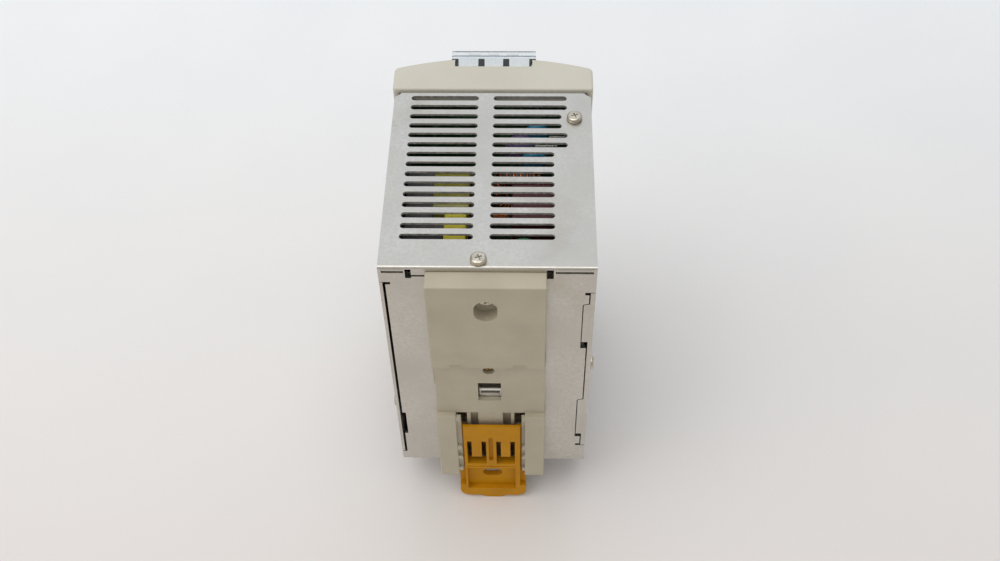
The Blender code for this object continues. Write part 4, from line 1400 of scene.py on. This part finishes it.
@dataclass
class RailBracket(Assembly):
    """The moulding on the rear: hook block, seat for the rail and the slider's guide blocks."""

    lip: float = 15.3
    floor: float = -2.5
    hook_x: Span = (-20.3, 21.4)
    seat_x: Span = (-20.6, 20.6)
    filler_x: Span = (-20.1, 21.2)
    floor_x: Span = (-16.0, 16.0)
    across: Span = (-22, 23)
    block: Span = (-61.4, -17.8)
    left: Span = (13.7, 21.3)
    right: Span = (-20.9, -13.1)
    teeth: tuple[Span, ...] = ((-21.0, -18.6), (-42.2, -39.4), (-49.2, -47.1), (-58.2, -56.0))
    ledge_bottom: float = -58.4
    notches: tuple[Span, ...] = ((9.5, 14.6), (-13.6, -8.6))
    posts: tuple[Span, ...] = ((-4.5, 5.1), (8.1, 9.5), (-8.9, -7.6))
    upper_screw: Point = (0.7, 51.0)
    lower_screw: Point = (0.5, 10.2)
    oblong: Triple = (49.2, 5.4, 8.3)
    window: tuple[Span, Span] = ((-4.0, 4.7), (-9.6, 2.1))
    floor_cuts: tuple[tuple[Span, Span], ...] = (
        ((-10.5, 10.8), (-56.5, -34.0)), ((9.7, 13.4), (-31.0, -18.6)), ((-13.0, -9.1), (-31.0, -18.6)))
    channels: tuple[Span, ...] = ((13.0, 14.2), (-14.2, -13.0))

    def build(self) -> list[Piece]:
        """Joins the blocks, cuts the rail's slot, the window, the holes and the channel.

        Returns:
            The pieces.
        """
        _, (back, face), (_, top) = extent("rail_bracket")
        full = (back, face)
        low, high = self.block
        upper = Piece("clip_moulding", Solid.box(self.hook_x, full, (self.lip - 3, top)))
        upper.soften(0.5, 3)
        upper.cut(Solid.box(self.across, (back - 1, face + 1), (self.lip - 4, self.lip)))
        guides = Piece("guides", *[Solid.box(x, full, self.block) for x in (self.left, self.right)])
        guides.soften(0.45, 3)
        solid = Solid()
        solid.mesh.from_mesh(guides.obj.data)
        bpy.data.meshes.remove(guides.obj.data)
        post = (back + 0.5, -GAP)
        upper.join(Solid.box(self.seat_x, (back, 0.0), (high - 0.2, self.lip + 1)))
        upper.join(solid)
        upper.join(Solid.box(self.filler_x, (back - 0.2, -1.0), (0.0, top - 0.05)))
        upper.join(Solid.box(self.floor_x, (back, self.floor), (low, high + 1)),
                   *[Solid.box(x, post, (-30.0, high + 0.5)) for x in self.posts])
        upper.join(*self.guides())
        height, reach, width = self.oblong
        hole = swapped(slot((height - reach, height + reach), self.upper_screw[0], width, 16))
        screw_end = back - 1
        upper.cut(Solid.box(self.across, (-GAP, 1.3), (14.8, 18.2)),
                  *[Solid.box(notch, (-1.3, face + 1), (15.2, 17.3)) for notch in self.notches],
                  Solid.prism(hole, Axis.Y, -2.4, face + 1),
                  Solid.rod(Axis.Y, self.upper_screw, 2.2, screw_end, -2.0),
                  Solid.rod(Axis.Y, self.lower_screw, 2.2, -2.6, 1.0),
                  Solid.rod(Axis.Y, self.lower_screw, 1.5, screw_end, -2.0),
                  Solid.box(self.window[0], (-2.4, 1.0), self.window[1]),
                  Solid.box((-4.5, 5.0), (back - 1, -1.8), (-13.0, 2.1)),
                  *[Solid.box(x, (back - 1, self.floor + 1), z) for x, z in self.floor_cuts],
                  *[Solid.box(x, (self.floor, 0.4), (low - 1, high - 0.9)) for x in self.channels])
        upper.soften(0.14, 2, 50).shade().dress(BEIGE_CLIP)
        upper.hang("housing", "clip_plastic", "rail_bracket")
        return [upper]

    def guides(self) -> list[Solid]:
        """The ledges over the slider's flanges, and the teeth on them.

        Returns:
            The ledges and the teeth.
        """
        made = []
        for side in (-1, 1):
            ledge = sorted((side * 15.0, side * 11.8))
            made.append(Solid.box(ledge, (0.5, 1.0), (self.ledge_bottom, self.block[1] - 1.0)))
            ends = sorted((side * 15.0, side * 12.1))
            made += [Solid.box(ends, (0.8, 2.2), tooth) for tooth in self.teeth]
        return made


@dataclass
class RailSlider(Assembly):
    """The locking slider: spring tongues in two windows, guide flanges and a tray for a screwdriver."""

    half: float = 11.25
    inner: float = 9.9
    flange: float = 13.7
    top: float = -24.5
    flange_top: float = -27.4
    end: float = -78.0
    bulge: float = 1.5
    tray: Span = (-9.3, 10.4)
    tray_top: float = -56.0
    tray_floor: float = 0.2
    windows: tuple[Span, ...] = ((2.4, 10.0), (-9.1, -1.7))
    window_z: Span = (-52.5, -35.4)
    tongue: float = 1.8
    groove: tuple[Span, Span] = ((-0.4, 1.3), (-50.0, -32.6))
    pry_hole: Point = (-62.8, 5.2)
    radius: float = 4.2

    def outline(self) -> list[Point]:
        """Lower part: round corners and a grip bulge in the middle.

        Returns:
            The outline, in X and Z.
        """
        z = self.end
        r = self.radius
        bulge = [(4.9 * math.cos(math.pi * i / 12), z - self.bulge * math.sin(math.pi * i / 12) ** 0.8)
                 for i in range(13)]
        return ([(self.flange, z + 8)] + arc(self.flange - r, z + r, r, 0, -90, 8) + bulge
                + arc(-self.flange + r, z + r, r, 270, 180, 8) + [(-self.flange, z + 8)])

    def build(self) -> list[Piece]:
        """Joins the plate, flanges and tongues, and cuts the windows, tray and groove.

        Returns:
            The pieces.
        """
        _, (low, face), _ = extent("rail_slider")
        plate = Solid.box((-self.half, self.half), (GAP, face), (self.end + 4, self.top))
        piece = Piece("slider_moulding", plate)
        foot = self.end + 5.7
        sides = []
        for side in (-1, 1):
            a, b = sorted((side * self.inner, side * self.flange))
            sides.append(Solid.box((a, b), (-1.0, 0.2), (foot, self.flange_top)))
            a, b = sorted((side * self.inner, side * self.half))
            sides.append(Solid.box((a, b), (-0.9, face - 0.1), (foot, self.flange_top - 0.4)))
        piece.join(*sides)
        piece.join(Solid.box((-self.half, self.half), (low, face), (foot - 1, -52.6)),
                   Solid.prism(self.outline(), Axis.Y, -1.0, face))
        for start, stop in self.windows:
            piece.cut(Solid.box((start, stop), (-3.0, face + 1), self.window_z),
                      Solid.box((start + 0.2, stop - 0.2), (-3.0, -1.3), (-54.2, -52.0)))
            piece.join(Solid.box((start + self.tongue, stop - self.tongue), (1.1, 2.3), (-47.2, -35.0)))
        piece.cut(Solid.box(self.tray, (self.tray_floor, face + 1), (foot, self.tray_top)),
                  Solid.prism(slot((-3.9, 4.2), *self.pry_hole, 14), Axis.Y, -3.0, face),
                  Solid.prism(rounded(*self.groove, 0.6), Axis.Y, 1.3, face + 1),
                  Solid.box((-self.half - 1, self.half + 1), (0.0, 1.4), (self.top - 2.0, self.top + 1)))
        piece.cut(Solid.box(self.tray, (face - 0.25, face + 1), (-54.9, -54.2)))
        piece.soften(0.28, 3, 40).shade().dress(OCHRE_CLIP)
        piece.hang("slider", "slider_plastic", "rail_slider")
        return [piece]


# ---------------------------------------------------------------- inside

@dataclass
class Boards(Assembly):
    """The three circuit boards, their spacers and the insulating film, kept from the frame."""

    edge: float = 0.25

    def build(self) -> list[Piece]:
        """Dresses the frame's own boards, spacers and film.

        Returns:
            The pieces.
        """
        finishes = {"main_board": LAMINATE, "filter_board": LAMINATE, "front_board": LAMINATE,
                    "insulation_sheet": FILM}
        finishes |= {f"main_standoff_{i + 1}": STANDOFF_BRASS for i in range(4)}
        finishes |= {f"filter_standoff_{i + 1}": STANDOFF_BRASS for i in range(2)}
        for name, finish in finishes.items():
            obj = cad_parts[name]
            obj.data.materials.clear()
            obj.data.materials.append(finish.material())
            weld = obj.modifiers.new("weld", "WELD")
            weld.merge_threshold = 0.01 * MM
            bevel = obj.modifiers.new("edge", "BEVEL")
            bevel.width = self.edge * MM
            bevel.segments = 2
            log.info("%s: %s kept", type(self).__name__, name)
        return []


@dataclass
class Transformer(Assembly):
    """A ferrite core with three legs and a taped winding on the middle one."""

    coil: Span = (7.5, 20.7)
    openings: tuple[Span, ...] = ((-58.0, -52.0), (-44.0, -38.0))

    def build(self) -> list[Piece]:
        """Makes the core and the winding.

        Returns:
            The pieces.
        """
        x, y, z = extent("transformer_core")
        core = Piece("ferrite_core", Solid.box(x, y, z))
        gap = (self.coil[0] - GAP, self.coil[1] + GAP)
        core.cut(*[Solid.box(gap, span, (z[0] - 1, z[1] + 1)) for span in self.openings])
        core.soften(0.5, 3).shade().dress(FERRITE).hang("housing", "ferrite", "transformer_core")
        leg = (z[0] - GAP, z[1] + GAP)
        x, y, z = extent("transformer_winding")
        coil = Piece("taped_winding", Solid.prism(rounded(y, z, 3.0, 8), Axis.X, *x))
        coil.cut(Solid.box((x[0] - 1, x[1] + 1), (-52.3, -43.7), leg))
        coil.soften(0.4, 3).shade().dress(TAPE_PAINTED_SHADE).hang("housing", "yellow_tape", "transformer_winding")
        return [core, coil]


@dataclass
class Capacitors(Assembly):
    """Electrolytic cans lying on the main board, film boxes and ceramic discs."""

    cans: tuple[str, ...] = (
        "bulk_capacitor", "output_capacitor_1", "output_capacitor_2", "output_capacitor_3")
    boxes: tuple[tuple[str, str, Finish, str], ...] = (
        ("film_capacitor", "red_film_box", RED_BOX, "red_film_case"),
        ("x_capacitor", "yellow_film_box", YELLOW_BOX, "yellow_film_case"))

    def can(self, node: str) -> list[Piece]:
        """Makes a sleeved can with its rolled groove and scored end.

        Args:
            node: The capacitor's CAD node.

        Returns:
            The sleeve and the can's end.
        """
        (low, high), y, z = extent(node)
        centre = (middle(y), middle(z))
        r = (y[1] - y[0]) / 2
        groove = [(r - 0.7 * math.sin(math.pi * i / 8), high - 2.6 + 1.4 * i / 8) for i in range(9)]
        profile = [(0, low + 0.3), (r * 0.8, low + 0.3), (r * 0.8, low), (r - 0.7, low), (r - 0.2, low + 0.2),
                   (r, low + 0.7)] + groove + [(r, high - 0.6), (r - 0.6, high), (0, high)]
        body = Piece(f"{node}_sleeve", Solid.turned(profile, Axis.X, centre, 40))
        body.shade(30).dress(SLEEVE).hang("housing", "capacitor_sleeve", node)
        end = Piece(f"{node}_end", Solid.turned([(0, low + 0.1), (r * 0.79, low + 0.1), (r * 0.79, low + 0.5),
                                                  (0, low + 0.5)], Axis.X, centre, 40))
        for turn in (0, 60, 120):
            angle = math.radians(turn)
            u, v = math.cos(angle) * r * 0.7, math.sin(angle) * r * 0.7
            p, q = math.sin(angle) * 0.15, -math.cos(angle) * 0.15
            score = [(centre[0] + u + p, centre[1] + v + q), (centre[0] - u + p, centre[1] - v + q),
                     (centre[0] - u - p, centre[1] - v - q), (centre[0] + u - p, centre[1] + v - q)]
            end.cut(Solid.prism(score, Axis.X, low - 1, low + 0.25))
        end.shade(30).dress(CAN_END).hang("housing", None)
        return [body, end]

    def build(self) -> list[Piece]:
        """Makes every capacitor.

        Returns:
            The pieces.
        """
        made = [piece for node in self.cans for piece in self.can(node)]
        for node, name, finish, slot_name in self.boxes:
            box = Piece(name, Solid.box(*extent(node))).soften(0.7, 4).shade().dress(finish)
            made.append(box.hang("housing", slot_name, node))
        return made


@dataclass
class Discs(Assembly):
    """Dipped discs that stand off the filter board on their leads."""

    discs: tuple[tuple[str, Finish, str], ...] = (
        ("y_capacitor_1", BLUE_DISC, "blue_disc"), ("y_capacitor_2", BLUE_DISC, "blue_disc"),
        ("surge_suppressor", VIOLET_DISC, "violet_disc"), ("inrush_thermistor", GREEN_DISC, "green_disc"))
    leads: Span = (-2.5, 2.5)
    lead_radius: float = 0.4
    board_gap: float = 14

    def build(self) -> list[Piece]:
        """Makes the discs and their leads.

        Returns:
            The pieces.
        """
        made = []
        for node, finish, slot_name in self.discs:
            x, y, z = extent(node)
            r = (z[1] - z[0]) / 2
            half = (y[1] - y[0]) / 2
            centre = (middle(x), middle(z))
            swell = [(r * max(0.0, math.cos(t)) ** 0.45, middle(y) + half * math.sin(t))
                     for t in (math.pi * (i / 12 - 0.5) for i in range(1, 12))]
            profile = [(0, y[0])] + swell + [(0, y[1])]
            disc = Piece(f"{node}_dipped", Solid.turned(profile, Axis.Y, centre, 36))
            made.append(disc.shade(60).dress(finish).hang("housing", slot_name, node))
            leads = []
            for side in self.leads:
                z0 = centre[1] + side
                path = [Vector((centre[0] - r * 0.6 - (self.board_gap - r * 0.6) * t,
                                middle(y) + side * 0.3, z0)) * MM for t in (i / 6 for i in range(7))]
                leads.append(Solid.tube(path, self.lead_radius))
            made.append(Piece(f"{node}_leads", *leads).shade().dress(TERMINAL_METAL).hang("housing", None))
        return made


@dataclass
class Toroid(Assembly):
    """A ring core with a layer of enamelled wire."""

    core: str
    winding: str
    axis: Axis
    turns: int
    wire: float
    sectors: tuple[Span, ...] = ((18, 172), (188, 342))
    facets: int = 48
    steps: int = 16

    def build(self) -> list[Piece]:
        """Makes the ring, and the wire as a real helix round it.

        Returns:
            The pieces.
        """
        spans = extent(self.core)
        level = middle(spans[self.axis.value])
        tube = (spans[self.axis.value][1] - spans[self.axis.value][0]) / 2
        a, b = [span for i, span in enumerate(spans) if i != self.axis.value]
        ring = (b[1] - b[0]) / 2 - tube
        centre = (middle(a), middle(b))
        loops = []
        for i in range(self.facets):
            t = 2 * math.pi * i / self.facets
            loops.append([self.axis.polar(level + h, centre, ring + r, t)
                          for h, r in circle(0, 0, tube, 16)])
        made = [Piece("ring_" + self.core, Solid.loft(loops, True)).shade(60).dress(FERRITE)
                .hang("housing", "ferrite", self.core)]
        wires = []
        steps = self.steps
        for start, end in self.sectors:
            path = []
            turns = self.turns // 2
            for i in range(turns * steps + 1):
                t = math.radians(start + (end - start) * i / (turns * steps))
                s = 2 * math.pi * i / steps
                reach = tube + self.wire + 0.1
                h, r = reach * math.sin(s), reach * math.cos(s)
                path.append(self.axis.polar(level + h, centre, ring + r, t))
            wires.append(Solid.tube(path, self.wire, 8))
        made.append(Piece("coil_" + self.winding, *wires).shade(60).dress(COPPER)
                    .hang("housing", "copper_wire", self.winding))
        return made


@dataclass
class RodInductor(Assembly):
    """A ferrite rod under a close layer of enamelled wire."""

    node: str
    turns: int = 7
    wire: float = 0.4

    def build(self) -> list[Piece]:
        """Makes the rod, and the wire as a helix along it.

        Returns:
            The pieces.
        """
        (low, high), y, z = extent(self.node)
        centre = (middle(y), middle(z))
        radius = (y[1] - y[0]) / 2
        core = Piece("rod_core", Solid.rod(Axis.X, centre, radius - 2 * self.wire - 0.05, low, high))
        core.soften(0.3, 2).shade().dress(FERRITE).hang("housing", None)
        path = []
        steps = 24
        for i in range(self.turns * steps + 1):
            level = low + 0.5 + (high - low - 1.0) * i / (self.turns * steps)
            path.append(Axis.X.polar(level, centre, radius - self.wire, 2 * math.pi * i / steps))
        coil = Piece("rod_coil", Solid.tube(path, self.wire)).shade(60).dress(COPPER)
        return [core, coil.hang("housing", "copper_wire", self.node)]


@dataclass
class PowerParts(Assembly):
    """Heat sinks with their devices, the relay and the fuse."""

    fin: float = 1.2
    sink: Span = (6.0, 31.4)
    upright_fins: tuple[float, ...] = (8.0, 14.0, 20.0, 26.0)
    level_fins: tuple[float, ...] = (-62.0, -55.0, -48.0, -24.0)
    packages: tuple[tuple[str, str], ...] = (
        ("switching_transistor", "transistor_package"), ("output_rectifier", "rectifier_package"),
        ("inrush_relay", "relay_case"))

    def build(self) -> list[Piece]:
        """Makes each part in the place of its CAD node.

        Returns:
            The pieces.
        """
        first = Piece("primary_fins", Solid.box(self.sink, (-71.0, -68.0), (-22.0, 44.0)))
        first.join(*[Solid.box((x, x + self.fin), (-75.0, -70.5), (-22.0, 38.0)) for x in self.upright_fins])
        second = Piece("secondary_fins", Solid.box(self.sink, (-64.0, -20.0), (-33.0, -30.0)))
        second.join(*[Solid.box(self.sink, (y, y + self.fin), (-30.5, -26.0)) for y in self.level_fins])
        made = []
        for piece, node in ((first, "primary_heatsink"), (second, "secondary_heatsink")):
            piece.soften(0.25, 2).shade().dress(ALUMINIUM)
            made.append(piece.hang("housing", "heatsink_aluminium", node))
        for node, name in self.packages:
            piece = Piece(name, Solid.box(*extent(node))).soften(0.5, 3).shade().dress(PACKAGE)
            made.append(piece.hang("housing", "device_package", node))
        x, y, (low, high) = extent("fuse")
        centre = (middle(x), middle(y))
        r = (x[1] - x[0]) / 2
        glass = [(0, low + 0.4), (r - 0.2, low + 0.4), (r - 0.2, high - 0.4), (0, high - 0.4)]
        made.append(Piece("fuse_tube", Solid.turned(glass, Axis.Z, centre)).shade().dress(FUSE_GLASS)
                    .hang("housing", "fuse_glass", "fuse"))
        caps = [Solid.turned([(0, a), (r, a), (r, b), (0, b)], Axis.Z, centre) for a, b in
                ((low, low + 5.0), (high - 5.0, high))]
        ends = Piece("fuse_caps", *caps).soften(0.3, 3).shade().dress(TERMINAL_METAL)
        made.append(ends.hang("housing", None))
        return made


# ---------------------------------------------------------------- studio

@dataclass
class Studio:
    """Floor, soft light and the camera."""

    floor_reach: float = 6.0
    camera_place: Triple = (-13.56, 262.24, 386.97)
    heading: float = 181.985
    tilt: float = 39.035
    roll: float = -1.18
    lens: float = 44.5455
    sensor: float = 36.0
    sky: str = "#DAD7D4"
    sky_strength: float = 0.77
    lamps: tuple[tuple[str, Triple, float, float, str], ...] = (
        ("overhead", (0.15, 0.10, 1.70), 1.6, 9.0, "#FFFEFC"),
        ("front", (0.0, -1.20, 1.20), 1.6, 3.2, "#DDEBFF"),
        ("side", (0.95, 0.30, 1.05), 1.3, 4.6, "#FFF8F0"))

    def floor(self) -> None:
        """A pale floor at the object's lowest point."""
        reach = self.floor_reach
        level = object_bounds()[0].z
        mesh = bpy.data.meshes.new("studio_floor")
        mesh.from_pydata([(-reach, -reach, level), (reach, -reach, level), (reach, reach, level),
                          (-reach, reach, level)], [], [(0, 1, 2, 3)])
        floor = bpy.data.objects.new("studio_floor", mesh)
        mesh.materials.append(FLOOR_PAPER.material())
        bpy.context.scene.collection.objects.link(floor)
        floor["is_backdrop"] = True

    def lights(self) -> None:
        """An even sky and three large soft lamps: overhead, in front and at the side."""
        world = bpy.data.worlds.new("studio")
        world.use_nodes = True
        sky = world.node_tree.nodes["Background"]
        sky.inputs["Color"].default_value = linear(self.sky)
        sky.inputs["Strength"].default_value = self.sky_strength
        bpy.context.scene.world = world
        for name, place, size, power, colour in self.lamps:
            data = bpy.data.lights.new(name, "AREA")
            data.shape = "DISK"
            data.size = size
            data.energy = power
            data.color = linear(colour)[:3]
            light = bpy.data.objects.new(name, data)
            light.location = place
            light.rotation_euler = (-Vector(place)).to_track_quat("-Z", "Y").to_euler()
            bpy.context.scene.collection.objects.link(light)

    def camera(self) -> None:
        """The camera, looking down at the rear."""
        data = bpy.data.cameras.new("camera")
        data.lens = self.lens
        data.sensor_width = self.sensor
        camera = bpy.data.objects.new("camera", data)
        camera.matrix_world = (Matrix.Translation(Vector(self.camera_place) * MM)
                               @ Matrix.Rotation(math.radians(self.heading), 4, "Z")
                               @ Matrix.Rotation(math.radians(self.tilt), 4, "X")
                               @ Matrix.Rotation(math.radians(self.roll), 4, "Z"))
        bpy.context.scene.collection.objects.link(camera)
        bpy.context.scene.camera = camera

    def build(self) -> None:
        """Sets up the floor, the lights and the camera."""
        self.floor()
        self.lights()
        self.camera()
        bpy.context.scene.view_settings.view_transform = "Standard"


def corners(bounds: tuple[Vector, Vector]) -> list[list[float]]:
    """Two corners as plain lists."""
    return [list(bounds[0]), list(bounds[1])]


def main() -> None:
    """Builds every sub-assembly in order, then the studio."""
    logging.basicConfig(level=logging.INFO, format="%(message)s")
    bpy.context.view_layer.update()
    bays = (TerminalBay("input", End.UPPER, 3), TerminalBay("output", End.LOWER, 4))
    sheet_screw = (1.9, 2.9, 1.5, ZINC_SCREW, "zinc_screw")
    screws = (("top_screw_rear", Axis.Z, 1, *sheet_screw), ("top_screw_front", Axis.Z, 1, *sheet_screw),
              ("side_screw_left", Axis.X, 1, *sheet_screw), ("side_screw_right", Axis.X, -1, *sheet_screw),
              ("bracket_screw_upper", Axis.Y, 1, 1.9, 3.0, 1.6, ZINC_SCREW, "zinc_screw"),
              ("bracket_screw_lower", Axis.Y, 1, 1.5, 1.8, 1.0, YELLOW_SCREW, "yellow_screw"))
    parts: list[Assembly] = [
        CaseSheet(),
        SideCover(1),
        SideCover(-1, screw=(-14.0, -3.5), reach=(-48.9, 50.6), tabs=CaseSheet.tabs),
        *[Fastener(*values) for values in screws],
        FrontBezel(bays), *bays, Indicators(), RailBracket(), RailSlider(), Boards(), Transformer(),
        Capacitors(), Discs(), Toroid("choke_core", "choke_winding", Axis.Y, 24, 0.55),
        Toroid("inductor_core", "inductor_winding", Axis.X, 24, 0.55), RodInductor("line_inductor"),
        PowerParts(),
    ]
    for part in parts:
        part.report()
    Studio().build()


if __name__ == "__main__":
    main()
